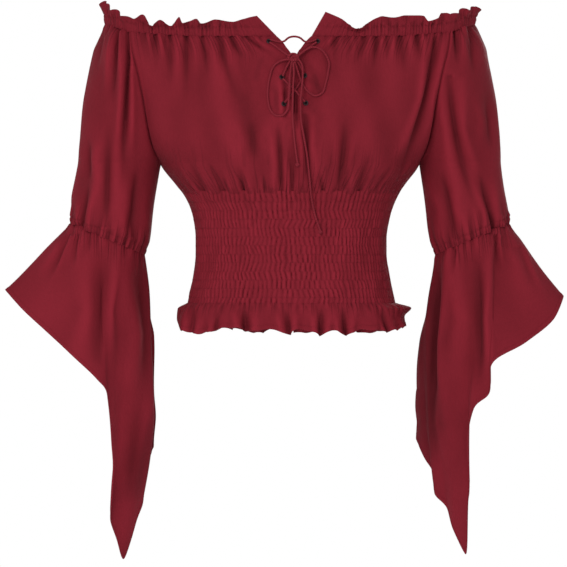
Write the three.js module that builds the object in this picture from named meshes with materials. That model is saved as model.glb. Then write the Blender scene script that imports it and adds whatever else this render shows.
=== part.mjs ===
// Off-the-shoulder peasant blouse: gathered neckline with a frill, laced front slit, raglan sleeves with
// pointed flounces, shirred waist and a ruffled hem. It keeps the hollow shape that it has when it is worn.
// Millimetres, +Z up, the front faces -Y and the wearer's left is at +X. The origin is the middle of the
// neckline, at the height of its elastic casing across the chest.
import * as THREE from "three";

// Cloth, seams and laces
const CLOTH = 1.6;
const SHIRRED_CLOTH = 1.1;
const SEAM_GAP = 0.3;
const NECK_SEAM_GAP = 0.5;
const CORD = 2.6;
const CORD_SIDES = 8;

// Heights of the seams, and the depth of the sides
const ARMPIT_Z = -158;
const SHIRRING_TOP_Z = -195;
const SHIRRING_BOTTOM_Z = -331;
const SIDE_Y = 3;

// Neckline: how far its casing rises to the raglan seams and over the arms, and dips at the back
const RAGLAN_TOP_Z = 5.7;
const SHOULDER_RISE = 11.3;
const BACK_DIP = 41;

// Raglan seam, from level 0 at the neckline to level 1 at the armpit. turn is how far round the arm it is
// from the side that faces the body, in degrees, and z its height.
const RAGLAN = [
  { level: 0, turn: 112, z: RAGLAN_TOP_Z },
  { level: 0.1, turn: 102, z: -17 },
  { level: 0.24, turn: 91, z: -40 },
  { level: 0.4, turn: 79, z: -67 },
  { level: 0.56, turn: 67, z: -93 },
  { level: 0.7, turn: 55, z: -116 },
  { level: 0.83, turn: 40, z: -137 },
  { level: 0.93, turn: 21, z: -151 },
  { level: 1, turn: 0, z: ARMPIT_Z },
];

// Elbow casing: a ring that slopes down towards the body
const ELBOW_Z = -251.5;
const ELBOW_TILT = 19.5;

// Sections of the body. drop is the distance below the neckline; half is half the width between the side
// seams; front and back are depths from y = 0; centre is the sections' x and middle the front's centre line.
const BODY = [
  { drop: 0, half: 199, front: 97, back: 104, centre: 0, middle: 5 },
  { drop: 45, half: 190, front: 111, back: 108, centre: 0, middle: 5 },
  { drop: 95, half: 182, front: 121, back: 107, centre: 0, middle: 5 },
  { drop: 130, half: 172, front: 122.5, back: 103, centre: 0, middle: 4.5 },
  { drop: 158, half: 162, front: 120, back: 99, centre: 0, middle: 4 },
  { drop: 185, half: 142, front: 111, back: 93.5, centre: 0.5, middle: 3 },
  { drop: 195, half: 135, front: 105, back: 90.5, centre: 1.5, middle: 2 },
  { drop: 210, half: 127.5, front: 96, back: 86, centre: 2, middle: 2 },
  { drop: 225, half: 123, front: 90.5, back: 82.5, centre: 2, middle: 2 },
  { drop: 250, half: 119.5, front: 86.5, back: 79.5, centre: 1.5, middle: 2 },
  { drop: 270, half: 119.5, front: 86.5, back: 80.5, centre: 1.5, middle: 2 },
  { drop: 300, half: 123.5, front: 89.5, back: 85, centre: 2, middle: 2 },
  { drop: 331, half: 130, front: 94, back: 91, centre: 2, middle: 2 },
];

// Sections of the sleeve by level: 0 at the neckline, 1 at the armpit, 2 at the elbow casing. out is the
// section's centre, measured out from the middle of the body; wide and deep are its half width and depth.
const SLEEVE = [
  { level: 0, out: 180, wide: 51, deep: 78 },
  { level: 0.15, out: 186, wide: 61, deep: 82 },
  { level: 0.45, out: 198, wide: 59, deep: 74 },
  { level: 0.67, out: 206, wide: 55, deep: 65 },
  { level: 0.88, out: 212, wide: 52.5, deep: 58 },
  { level: 1, out: 213.5, wide: 51.5, deep: 54 },
  { level: 1.5, out: 220.5, wide: 50, deep: 50.5 },
  { level: 1.85, out: 225, wide: 50, deep: 47 },
  { level: 2, out: 228, wide: 46, deep: 42 },
];

// Half the opening of the front slit, by drop below the neckline; above the casing its edges lean out
const SLIT_BOTTOM_DROP = 96;
const SLIT = [
  { drop: 0, half: 22 },
  { drop: 7.5, half: 14.5 },
  { drop: 15, half: 9 },
  { drop: 22, half: 4 },
  { drop: 35, half: 1.8 },
  { drop: 96, half: 0.8 },
];

// Soft troughs in the cloth, placed as they are seen from the front. Each runs from (x0, z0) down to
// (x1, z1) with a sideways bend; half is its half width, deep its depth, and full where along it it is
// deepest, from 0 at the top to 1 at the bottom.
const FRONT_FOLDS = [
  { x0: -169, z0: 0, x1: -169, z1: -28, bend: 0, half: 5, deep: 2.5, full: 0 },
  { x0: -150, z0: 0, x1: -150, z1: -72, bend: 1, half: 6, deep: 3.4, full: 0 },
  { x0: -129, z0: 0, x1: -131, z1: -94, bend: 1, half: 6, deep: 3.8, full: 0 },
  { x0: -109, z0: 0, x1: -102, z1: -60, bend: 1, half: 5, deep: 3.6, full: 0 },
  { x0: -89, z0: 0, x1: -58, z1: -96, bend: -2, half: 6, deep: 3.4, full: 0 },
  { x0: -74, z0: -1, x1: -52, z1: -34, bend: -2, half: 5, deep: 3.4, full: 0 },
  { x0: -57, z0: 3, x1: -20, z1: -24, bend: -3, half: 5, deep: 3.5, full: 0.3 },
  { x0: 62, z0: 3, x1: 40, z1: -20, bend: 3, half: 5, deep: 3, full: 0.3 },
  { x0: 92, z0: -2, x1: 78, z1: -40, bend: 1, half: 5, deep: 3, full: 0 },
  { x0: 108, z0: 0, x1: 103, z1: -48, bend: 0, half: 5, deep: 3.2, full: 0 },
  { x0: 121, z0: 0, x1: 119, z1: -34, bend: 0, half: 4, deep: 2.4, full: 0 },
  { x0: 138, z0: 0, x1: 143, z1: -52, bend: 0, half: 6, deep: 3.6, full: 0 },
  { x0: 158, z0: 0, x1: 164, z1: -34, bend: 0, half: 5, deep: 2.6, full: 0 },
  { x0: 182, z0: 0, x1: 130, z1: -190, bend: 9, half: 8, deep: 7, full: 0.4 },
  { x0: -132, z0: -140, x1: -104, z1: -200, bend: 0, half: 6, deep: 3, full: 1 },
  { x0: -108, z0: -146, x1: -78, z1: -200, bend: 0, half: 6, deep: 3.4, full: 1 },
  { x0: -48, z0: -100, x1: -44, z1: -160, bend: 0, half: 8, deep: 3.4, full: 0.5 },
  { x0: -64, z0: -158, x1: -56, z1: -198, bend: 0, half: 4, deep: 3, full: 1 },
  { x0: -16, z0: -98, x1: -11, z1: -198, bend: 1, half: 5, deep: 4.6, full: 0.6 },
  { x0: 2, z0: -150, x1: 3, z1: -198, bend: 0, half: 4, deep: 3, full: 1 },
  { x0: 19, z0: -96, x1: 26, z1: -198, bend: -1, half: 5, deep: 5, full: 0.4 },
  { x0: 34, z0: -158, x1: 42, z1: -198, bend: 0, half: 4, deep: 3, full: 1 },
  { x0: 69, z0: -96, x1: 60, z1: -198, bend: 2, half: 6, deep: 4.4, full: 0.6 },
  { x0: 102, z0: -136, x1: 84, z1: -200, bend: 0, half: 6, deep: 3.6, full: 1 },
];
const BACK_FOLDS = [
  { x0: -165, z0: 2, x1: -158, z1: -60, bend: 0, half: 6, deep: 3.4, full: 0 },
  { x0: -128, z0: 0, x1: -122, z1: -84, bend: 1, half: 6, deep: 3.6, full: 0 },
  { x0: -86, z0: -26, x1: -80, z1: -80, bend: 0, half: 6, deep: 3.2, full: 0 },
  { x0: -42, z0: -36, x1: -44, z1: -104, bend: 1, half: 6, deep: 3.6, full: 0 },
  { x0: 6, z0: -40, x1: 4, z1: -94, bend: 0, half: 6, deep: 3.2, full: 0 },
  { x0: 52, z0: -36, x1: 56, z1: -106, bend: -1, half: 6, deep: 3.6, full: 0 },
  { x0: 94, z0: -24, x1: 88, z1: -84, bend: 0, half: 6, deep: 3.2, full: 0 },
  { x0: 134, z0: 0, x1: 126, z1: -86, bend: 0, half: 6, deep: 3.6, full: 0 },
  { x0: 170, z0: 2, x1: 160, z1: -58, bend: 0, half: 6, deep: 3.2, full: 0 },
  { x0: -138, z0: -120, x1: -112, z1: -200, bend: 0, half: 7, deep: 4, full: 1 },
  { x0: -84, z0: -128, x1: -72, z1: -200, bend: 0, half: 6, deep: 3.6, full: 1 },
  { x0: -34, z0: -112, x1: -30, z1: -200, bend: 0, half: 6, deep: 4, full: 1 },
  { x0: 14, z0: -132, x1: 14, z1: -200, bend: 0, half: 5, deep: 3.4, full: 1 },
  { x0: 62, z0: -118, x1: 54, z1: -200, bend: 0, half: 6, deep: 4, full: 1 },
  { x0: 118, z0: -122, x1: 98, z1: -200, bend: 0, half: 7, deep: 4, full: 1 },
];
// Sleeve troughs, with x as the distance out from the middle of the body; one table for each sleeve
const RIGHT_SLEEVE_FOLDS = [
  { x0: 214, z0: 20, x1: 222, z1: -92, bend: 0, half: 6, deep: 5, full: 0.2 },
  { x0: 199, z0: 8, x1: 209, z1: -182, bend: -1, half: 6, deep: 6, full: 0.3 },
  { x0: 236, z0: 8, x1: 243, z1: -54, bend: 0, half: 5, deep: 3, full: 0 },
  { x0: 226, z0: -96, x1: 229, z1: -236, bend: 0, half: 9, deep: 3.6, full: 0.6 },
  { x0: 250, z0: -120, x1: 252, z1: -186, bend: 0, half: 6, deep: 2.4, full: 0.5 },
  { x0: 252, z0: -176, x1: 263, z1: -244, bend: 0, half: 5, deep: 3.6, full: 0.7 },
  { x0: 188, z0: -150, x1: 196, z1: -250, bend: 0, half: 8, deep: 3, full: 0.6 },
];
const LEFT_SLEEVE_FOLDS = [
  { x0: 206, z0: 8, x1: 209, z1: -40, bend: 0, half: 5, deep: 3.6, full: 0 },
  { x0: 226, z0: 14, x1: 230, z1: -60, bend: 0, half: 6, deep: 3, full: 0 },
  { x0: 198, z0: -50, x1: 232, z1: -214, bend: -7, half: 8, deep: 4.4, full: 0.4 },
  { x0: 234, z0: -158, x1: 258, z1: -246, bend: 0, half: 6, deep: 4, full: 0.7 },
  { x0: 246, z0: -60, x1: 252, z1: -150, bend: 0, half: 7, deep: 2.6, full: 0.5 },
  { x0: 186, z0: -160, x1: 204, z1: -252, bend: 0, half: 8, deep: 3.4, full: 0.6 },
];

// Lower edge of each flounce. turn goes round the arm: 0 faces the body, 90 the front, 180 out, 270 the
// back. out, y and z place the edge; in and fore push the cloth half way down towards the body and front.
const RIGHT_FLOUNCE_EDGE = [
  { turn: -25, out: 171, y: 30, z: -516, in: 9, fore: 0 },
  { turn: -12, out: 186, y: 22, z: -552, in: 10, fore: 0 },
  { turn: 0, out: 185, y: 15, z: -578, in: 12, fore: 1 },
  { turn: 12, out: 193, y: 8, z: -604, in: 10, fore: 3 },
  { turn: 25, out: 207, y: 0, z: -652, in: 7, fore: 5 },
  { turn: 38, out: 216, y: -9, z: -626, in: 3, fore: 7 },
  { turn: 50, out: 222, y: -19, z: -602, in: 0, fore: 8 },
  { turn: 65, out: 221, y: -31, z: -570, in: -3, fore: 9 },
  { turn: 80, out: 223, y: -45, z: -501, in: -3, fore: 10 },
  { turn: 95, out: 227, y: -57, z: -444, in: -2, fore: 9 },
  { turn: 112, out: 240, y: -62, z: -426, in: 0, fore: 7 },
  { turn: 130, out: 268, y: -57, z: -399, in: 0, fore: 5 },
  { turn: 150, out: 303, y: -42, z: -367, in: 0, fore: 3 },
  { turn: 166, out: 335, y: -22, z: -338, in: 0, fore: 1 },
  { turn: 180, out: 358, y: 5, z: -313, in: 3, fore: 0 },
  { turn: 196, out: 334, y: 32, z: -330, in: 0, fore: -2 },
  { turn: 216, out: 300, y: 50, z: -352, in: 0, fore: -5 },
  { turn: 240, out: 262, y: 62, z: -380, in: 0, fore: -7 },
  { turn: 268, out: 222, y: 66, z: -408, in: 2, fore: -9 },
  { turn: 296, out: 188, y: 56, z: -438, in: 6, fore: -6 },
  { turn: 318, out: 170, y: 42, z: -478, in: 8, fore: -2 },
];
const LEFT_FLOUNCE_EDGE = [
  { turn: -25, out: 162, y: 32, z: -505, in: 8, fore: 0 },
  { turn: -12, out: 170, y: 24, z: -527, in: 9, fore: 0 },
  { turn: 0, out: 179, y: 17, z: -545, in: 11, fore: 1 },
  { turn: 12, out: 180, y: 10, z: -568, in: 10, fore: 3 },
  { turn: 25, out: 197, y: 3, z: -588, in: 8, fore: 5 },
  { turn: 38, out: 206, y: -6, z: -615, in: 4, fore: 7 },
  { turn: 50, out: 220, y: -15, z: -645, in: 1, fore: 8 },
  { turn: 65, out: 223, y: -28, z: -560, in: -4, fore: 9 },
  { turn: 80, out: 222, y: -42, z: -508, in: -5, fore: 10 },
  { turn: 95, out: 229, y: -54, z: -462, in: -5, fore: 9 },
  { turn: 112, out: 247, y: -62, z: -443, in: -5, fore: 7 },
  { turn: 130, out: 251, y: -64, z: -408, in: 0, fore: 6 },
  { turn: 150, out: 294, y: -48, z: -380, in: 0, fore: 3 },
  { turn: 166, out: 330, y: -26, z: -350, in: 0, fore: 1 },
  { turn: 180, out: 343, y: 4, z: -322, in: 1, fore: 0 },
  { turn: 196, out: 322, y: 30, z: -338, in: 0, fore: -2 },
  { turn: 216, out: 292, y: 48, z: -358, in: 0, fore: -5 },
  { turn: 240, out: 256, y: 61, z: -384, in: 0, fore: -7 },
  { turn: 268, out: 218, y: 66, z: -410, in: 2, fore: -9 },
  { turn: 296, out: 184, y: 57, z: -438, in: 6, fore: -6 },
  { turn: 318, out: 166, y: 44, z: -474, in: 8, fore: -2 },
];
const RIGHT_FLOUNCE_FOLDS = [
  { x0: 232, z0: -250, x1: 234, z1: -436, bend: -2, half: 9, deep: 6, full: 0.5 },
  { x0: 184, z0: -276, x1: 182, z1: -452, bend: 3, half: 8, deep: 5, full: 0.5 },
  { x0: 262, z0: -240, x1: 288, z1: -330, bend: 0, half: 8, deep: 3.4, full: 0.2 },
  { x0: 190, z0: -480, x1: 212, z1: -600, bend: 4, half: 8, deep: 4, full: 0.4 },
];
const LEFT_FLOUNCE_FOLDS = [
  { x0: 222, z0: -256, x1: 232, z1: -408, bend: 0, half: 9, deep: 7, full: 0.5 },
  { x0: 190, z0: -272, x1: 186, z1: -470, bend: 2, half: 9, deep: 5, full: 0.5 },
  { x0: 256, z0: -250, x1: 284, z1: -330, bend: 0, half: 8, deep: 3.4, full: 0.2 },
  { x0: 196, z0: -450, x1: 204, z1: -560, bend: 2, half: 8, deep: 3, full: 0.4 },
];

// Neckline frill. In front, along is the distance from the slit, height how high the frill stands there, lean
// how far its top leans away from the slit, and wave the strength of its waves. Where it stands lower it
// flops outwards, by FRILL_FLOP of what its height lacks of FRILL_TALL.
const FRILL_WAVE = 4.2;
const FRILL_SCALLOP = 2.5;
const FRILL_FLARE = 3;
const FRILL_TALL = 22;
const FRILL_FLOP = 0.55;
const RIGHT_FRILL = [
  { along: 0, height: 24.5, lean: 24, wave: 0 },
  { along: 14, height: 23, lean: 16, wave: 0 },
  { along: 30, height: 20, lean: 9, wave: 0.2 },
  { along: 45, height: 17, lean: 4, wave: 0.6 },
  { along: 60, height: 18.5, lean: 1, wave: 0.8 },
  { along: 69, height: 20, lean: 0, wave: 1 },
  { along: 84, height: 13.5, lean: 0, wave: 1 },
  { along: 91, height: 20.5, lean: 0, wave: 1 },
  { along: 106, height: 14.5, lean: 0, wave: 1 },
  { along: 111, height: 22, lean: 0, wave: 1 },
  { along: 121, height: 10, lean: 0, wave: 1 },
  { along: 134, height: 17, lean: 0, wave: 1 },
  { along: 146, height: 8.5, lean: 0, wave: 1 },
  { along: 157, height: 22, lean: 0, wave: 1 },
  { along: 171, height: 16, lean: 0, wave: 1 },
  { along: 178, height: 18, lean: 0, wave: 1 },
];
const LEFT_FRILL = [
  { along: 0, height: 29.5, lean: 17, wave: 0 },
  { along: 12, height: 25.5, lean: 14, wave: 0 },
  { along: 26, height: 21, lean: 9, wave: 0.2 },
  { along: 40, height: 13.5, lean: 4, wave: 0.5 },
  { along: 52, height: 7.5, lean: 1.5, wave: 0.5 },
  { along: 64, height: 13.5, lean: 0, wave: 0.8 },
  { along: 75, height: 20.5, lean: 0, wave: 1 },
  { along: 84, height: 23.5, lean: 0, wave: 1 },
  { along: 100, height: 22, lean: 0, wave: 1 },
  { along: 114, height: 24, lean: 0, wave: 1 },
  { along: 138, height: 22, lean: 0, wave: 1 },
  { along: 145, height: 15, lean: 0, wave: 1 },
  { along: 158, height: 18.5, lean: 0, wave: 1 },
  { along: 162, height: 23.5, lean: 0, wave: 1 },
  { along: 171, height: 23.5, lean: 0, wave: 1 },
  { along: 178, height: 22, lean: 0, wave: 1 },
];
const SHOULDER_HEIGHT = { right: 27, left: 20 };
const BACK_FRILL_HEIGHT = 17;
const FRONT_FRILL_WAVES = 7;
const SLEEVE_FRILL_WAVES = 6;
const BACK_FRILL_WAVES = 12;

// Gathers, shirring and the hem ruffle
const FRONT_GATHERS = 24;
const BACK_GATHERS = 16;
const SLEEVE_GATHERS = 6;
const ELBOW_GATHERS = 8;
const GATHER_DEPTH = 2;
const NECK_GATHER_REACH = 62;
const WAIST_GATHER_REACH = 44;
const FRONT_SHIRRING_PLEATS = 28;
const BACK_SHIRRING_PLEATS = 20;
const SHIRRING_ROWS = 8;
const SHIRRING_RELIEF = 2;
const HEM_WAVES = 12;
const HEM_WAVE_DEPTH = 3;
const HEM_FLARE = 13;
// How far the hem ruffle stands out at the side seams, by how far down it is, from 0 to 1
const HEM_SIDES = [
  { down: 0, right: 0, left: 0 },
  { down: 0.22, right: 12.5, left: 20 },
  { down: 0.58, right: 13.5, left: 11.5 },
  { down: 1, right: 8.5, left: 13 },
];
// Heights of its lower edge by the distance across, and its folds, which deepen towards that edge
const FRONT_HEM_EDGE = [
  { x: -136, z: -365 },
  { x: -112, z: -369.5 },
  { x: -90, z: -364 },
  { x: -71, z: -361.5 },
  { x: -50, z: -365.5 },
  { x: -20, z: -364 },
  { x: -2, z: -369.5 },
  { x: 12, z: -363 },
  { x: 38, z: -370 },
  { x: 52, z: -365 },
  { x: 67, z: -370 },
  { x: 92, z: -364 },
  { x: 128, z: -365.5 },
  { x: 145, z: -360.5 },
];
const BACK_HEM_EDGE = [
  { x: -136, z: -365 },
  { x: -108, z: -368 },
  { x: -76, z: -363 },
  { x: -44, z: -369 },
  { x: -14, z: -364 },
  { x: 22, z: -369 },
  { x: 58, z: -363.5 },
  { x: 96, z: -369 },
  { x: 145, z: -360.5 },
];
const FRONT_HEM_FOLDS = [
  { x0: -119, z0: -330, x1: -124, z1: -372, bend: 0, half: 5, deep: 4, full: 1 },
  { x0: -90, z0: -332, x1: -92, z1: -372, bend: 0, half: 5, deep: 4, full: 1 },
  { x0: -58, z0: -330, x1: -53, z1: -372, bend: 0, half: 6, deep: 9, full: 1 },
  { x0: -6, z0: -330, x1: -2, z1: -372, bend: 0, half: 5, deep: 6, full: 1 },
  { x0: 40, z0: -330, x1: 38, z1: -372, bend: 0, half: 5, deep: 7, full: 1 },
  { x0: 67, z0: -330, x1: 68, z1: -372, bend: 0, half: 5.5, deep: 8, full: 1 },
  { x0: 112, z0: -330, x1: 125, z1: -372, bend: 0, half: 5, deep: 7, full: 1 },
];
const BACK_HEM_FOLDS = [
  { x0: -110, z0: -330, x1: -115, z1: -372, bend: 0, half: 5, deep: 6, full: 1 },
  { x0: -76, z0: -330, x1: -78, z1: -372, bend: 0, half: 5.5, deep: 7, full: 1 },
  { x0: -34, z0: -330, x1: -32, z1: -372, bend: 0, half: 6, deep: 8, full: 1 },
  { x0: 6, z0: -330, x1: 8, z1: -372, bend: 0, half: 5, deep: 6, full: 1 },
  { x0: 48, z0: -330, x1: 50, z1: -372, bend: 0, half: 6, deep: 8, full: 1 },
  { x0: 84, z0: -330, x1: 88, z1: -372, bend: 0, half: 5.5, deep: 6, full: 1 },
  { x0: 116, z0: -330, x1: 124, z1: -372, bend: 0, half: 5, deep: 6, full: 1 },
];

// Eyelets down both edges of the slit, and the routes of the lace. A route's point is x, z and the height
// of the cord's middle above the cloth there.
const EYELET = { outer: 3.3, inner: 1.8, thick: 1.2, rim: 0.4, above: 0.3 };
const EYELETS = [
  { name: "eyelet_right_1", x: -26, z: -7 },
  { name: "eyelet_left_1", x: 34, z: -7 },
  { name: "eyelet_right_2", x: -10, z: -52 },
  { name: "eyelet_left_2", x: 18, z: -50 },
  { name: "eyelet_right_3", x: -7.5, z: -85 },
  { name: "eyelet_left_3", x: 19.5, z: -84 },
];
const RAY_START_Y = -400;
const KNOT = { x: 4, z: -28, above: 6.6, wide: 5, tall: 4.2, deep: 3.6 };
const LACES = [
  { name: "lace_low_right", steps: 4, route: [[-6, -83, 3], [6, -68, 1.8], [16.2, -52.8, 3]] },
  { name: "lace_low_left", steps: 4, route: [[18, -82, 3], [5.5, -67.5, 5], [-8.4, -54.2, 3]] },
  { name: "lace_mid_right", steps: 2, route: [[-8.6, -50, 3], [-5, -41, 2.6], [-1.4, -34.5, 4.2]] },
  { name: "lace_mid_left", steps: 2, route: [[16.6, -47.6, 3], [13.5, -40, 2.6], [9.6, -33.5, 4.2]] },
  { name: "lace_top_right", steps: 3, route: [[-24.4, -8.6, 3], [-13, -17, 1.9], [-1.4, -25.6, 4.4]] },
  { name: "lace_top_left", steps: 3, route: [[32.4, -8.6, 3], [21, -17, 1.9], [9.6, -24.6, 3.8]] },
  {
    name: "lace_arch",
    steps: 7,
    route: [[-24, -5, 3], [-15, -7.5, 1.8], [-8, -7.5, 1.8], [-1.5, -2.6, 2.4], [5, -1.2, 3],
      [12, -2.6, 2.4], [19, -7.8, 1.8], [26, -7.5, 1.8], [32, -5, 3]],
  },
  {
    name: "bow_loop_right",
    steps: 15,
    route: [[-1.1, -29.6, 7.2], [-12, -32, 3.6], [-20, -38, 1.9], [-25, -52, 1.7], [-27.5, -68, 1.7],
      [-27, -82, 1.7], [-24.5, -92, 1.7], [-18, -99, 1.7], [-10, -99.5, 1.9], [-3.5, -93, 4.2],
      [-1.5, -78, 7.2], [-0.5, -60, 7.4], [0.5, -45, 7.2], [2.2, -33.4, 7.4]],
  },
  {
    name: "bow_loop_left",
    steps: 15,
    route: [[9.3, -26.4, 8], [18, -19, 6.4], [27, -14.5, 5.6], [38, -17, 2.4], [45, -25, 1.7],
      [48.5, -34, 1.7], [47, -46, 1.7], [44, -60, 1.7], [40, -71, 1.7], [32, -75, 1.7],
      [22.5, -70, 2.6], [15.5, -61, 6], [11.5, -50, 6.6], [8.5, -41, 7], [6, -33.4, 7.4]],
  },
  {
    name: "lace_tail_left",
    steps: 16,
    route: [[10.4, -29.5, 8.6], [14.5, -36, 8.8], [15.6, -50, 9.6], [14.5, -66, 9.4], [13.2, -78, 8], [13, -90, 3],
      [13.5, -104, 1.7], [17, -125, 1.7], [21, -148, 1.7], [24, -175, 1.7], [26.5, -200, 1.9],
      [31, -222, 1.9], [38, -243, 1.9]],
  },
  {
    name: "lace_tail_right",
    steps: 9,
    route: [[4.2, -34.6, 11.6], [4.8, -46, 11], [4, -62, 9.6], [3.4, -80, 6.6], [3.2, -98, 2.6],
      [4.6, -120, 1.7], [7, -142, 1.7], [9.6, -160, 1.7]],
  },
];

// Shared maths
const clamp = (v, low, high) => Math.min(high, Math.max(low, v));
const mix = (a, b, t) => a + (b - a) * t;
const smooth = (t) => {
  const c = clamp(t, 0, 1);
  return c * c * (3 - 2 * c);
};
const radians = (degrees) => (degrees * Math.PI) / 180;
// A repeatable unevenness between 0.55 and 1 for the kth fold
const uneven = (k) => 0.55 + 0.45 * Math.abs(Math.sin(2.399 * k + 0.7));

// Reads a column of a table as a smooth function of its key column, with no overshoot between rows.
function reader(rows, key) {
  const keys = rows.map((row) => row[key]);
  const last = rows.length - 1;
  return (column, at) => {
    const x = clamp(at, keys[0], keys[last]);
    let k = 0;
    while (k < last - 1 && x > keys[k + 1]) k += 1;
    const rise = (i) => (rows[i + 1][column] - rows[i][column]) / (keys[i + 1] - keys[i]);
    const slope = (i) => {
      if (i === 0) return rise(0);
      if (i === last) return rise(last - 1);
      const before = rise(i - 1);
      const after = rise(i);
      return before * after <= 0 ? 0 : (2 * before * after) / (before + after);
    };
    const span = keys[k + 1] - keys[k];
    const t = (x - keys[k]) / span;
    const t2 = t * t;
    const t3 = t2 * t;
    return (
      rows[k][column] * (2 * t3 - 3 * t2 + 1) +
      slope(k) * span * (t3 - 2 * t2 + t) +
      rows[k + 1][column] * (3 * t2 - 2 * t3) +
      slope(k + 1) * span * (t3 - t2)
    );
  };
}
const body = reader(BODY, "drop");
const sleeve = reader(SLEEVE, "level");
const raglan = reader(RAGLAN, "level");
const slit = reader(SLIT, "drop");
const hemSide = reader(HEM_SIDES, "down");

// Depth of the troughs at a point that is seen at (x, z); the result is never above 0.
function troughs(folds, x, z) {
  let depth = 0;
  for (const f of folds) {
    const t = (z - f.z0) / (f.z1 - f.z0);
    if (t > 1 && f.full < 1) continue;
    if (t < 0 && f.full > 0) continue;
    const at = clamp(t, 0, 1);
    const middle = mix(f.x0, f.x1, at) + f.bend * 4 * at * (1 - at);
    const fade = smooth(1 - Math.abs(at - f.full) / Math.max(f.full, 1 - f.full));
    depth -= f.deep * fade * Math.exp(-(((x - middle) / f.half) ** 2));
  }
  return depth;
}

// Levels at which all the cloths that meet at a raglan seam have their points
const RAGLAN_LEVELS = RAGLAN.map((row) => row.level);

// The surfaces. side is -1 for the wearer's right and 1 for the left; face is -1 in front and 1 behind.
// A point of the raglan seam, from the neckline at level 0 to the armpit at level 1.
function raglanPoint(side, face, level) {
  const turn = radians(raglan("turn", level));
  return new THREE.Vector3(
    side * (sleeve("out", level) - sleeve("wide", level) * Math.cos(turn)),
    SIDE_Y + face * sleeve("deep", level) * Math.sin(turn),
    raglan("z", level),
  );
}

// Outward direction of both cloths at a raglan seam: forward or back higher up, down at the armpit.
function raglanNormal(side, face, level) {
  if (level === 0) return new THREE.Vector3(0, face, 0);
  if (level === 1) return new THREE.Vector3(0, 0, -1);
  const step = 0.03;
  const run = raglanPoint(side, face, level + step).sub(raglanPoint(side, face, level - step));
  return new THREE.Vector3(0, -face * run.z, face * run.y).normalize();
}

// A point of the front or back from the neckline (level 0) through the armpit (1) to the shirring (2),
// where reach goes from 0 at the centre line to 1 at the raglan or side seam.
function panelPoint(face, side, reach, level) {
  const yoke = level < 1;
  const lowZ = mix(ARMPIT_Z, SHIRRING_TOP_Z, level - 1);
  const neckZ = RAGLAN_TOP_Z * reach ** 6 - (face > 0 ? BACK_DIP * (1 - reach ** 2.2) : 0);
  const evenZ = ARMPIT_Z * level + neckZ * (1 - level) ** 2;
  const z = yoke ? mix(evenZ, raglan("z", level), reach ** 4) : lowZ;
  const edge = yoke
    ? raglanPoint(side, face, level)
    : new THREE.Vector3(body("centre", -z) + side * body("half", -z), SIDE_Y, z);
  const round = mix(0.15, 1, smooth(level));
  const open = face < 0 && -z < SLIT_BOTTOM_DROP ? slit("half", -z) : 0;
  const middle = body("middle", -z);
  const span = Math.abs(edge.x - middle) - open;
  const across = mix(reach, Math.sin((reach * Math.PI) / 2), round);
  const bow = mix(1 - reach ** 2.6, Math.cos((reach * Math.PI) / 2) ** 0.85, round);
  const depth = face * body(face < 0 ? "front" : "back", -z);
  return new THREE.Vector3(middle + side * (open + span * across), mix(edge.y, depth, bow), z);
}

// A point of the shirred waist or of the ruffle's seam at height z; across goes from -1 to 1.
function waistPoint(face, across, z) {
  const angle = (across * Math.PI) / 2;
  const depth = face * body(face < 0 ? "front" : "back", -z);
  return new THREE.Vector3(
    body("centre", -z) + body("half", -z) * Math.sin(angle),
    mix(SIDE_Y, depth, Math.cos(angle) ** 0.85),
    z,
  );
}

// A point of the sleeve; around goes from 0 at the front raglan seam, over the arm, to 1 at the back one.
function sleevePoint(side, around, level) {
  const start = raglan("turn", level);
  const turn = radians(mix(start, 360 - start, around));
  const rise = SHOULDER_RISE * (1 - (2 * around - 1) ** 2);
  const below = Math.max(0, level - 1);
  const z =
    level < 1
      ? raglan("z", level) + rise * (1 - level) ** 2
      : mix(ARMPIT_Z, ELBOW_Z, below) - ELBOW_TILT * below ** 1.5 * Math.cos(turn);
  return new THREE.Vector3(
    side * (sleeve("out", level) - sleeve("wide", level) * Math.cos(turn)),
    SIDE_Y - sleeve("deep", level) * Math.sin(turn),
    z,
  );
}

// The unit normal of the elbow casing's plane, pointing down the arm.
const elbowNormal = (side) =>
  new THREE.Vector3(side * ELBOW_TILT, 0, -sleeve("wide", 2)).normalize();

// A point of the flounce at a turn round the arm; down goes from 0 at the elbow casing to 1 at its edge.
function flouncePoint(side, edge, turn, down) {
  const top = sleevePoint(side, 0, 2);
  const angle = radians(turn);
  top.set(
    side * (sleeve("out", 2) - sleeve("wide", 2) * Math.cos(angle)),
    SIDE_Y - sleeve("deep", 2) * Math.sin(angle),
    ELBOW_Z - ELBOW_TILT * Math.cos(angle),
  );
  const belly = 4 * down * (1 - down);
  return new THREE.Vector3(
    mix(top.x, side * edge("out", turn), down) - side * edge("in", turn) * belly,
    mix(top.y, edge("y", turn), down) - edge("fore", turn) * belly,
    mix(top.z, edge("z", turn), down),
  );
}

// Collects shared vertices and faces, and turns them into one geometry.
class Surface {
  constructor() {
    this.index = new Map();
    this.points = [];
    this.faces = [];
  }

  vertex(name, place) {
    if (!this.index.has(name)) {
      this.index.set(name, this.points.length / 3);
      this.points.push(place.x, place.y, place.z);
    }
    return this.index.get(name);
  }

  quad(a, b, c, d) {
    this.faces.push(a, b, c, a, c, d);
  }

  height(id) {
    return this.points[3 * id + 2];
  }

  geometry() {
    const made = new THREE.BufferGeometry();
    made.setAttribute("position", new THREE.Float32BufferAttribute(this.points, 3));
    made.setIndex(this.faces);
    return made;
  }
}

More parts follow.
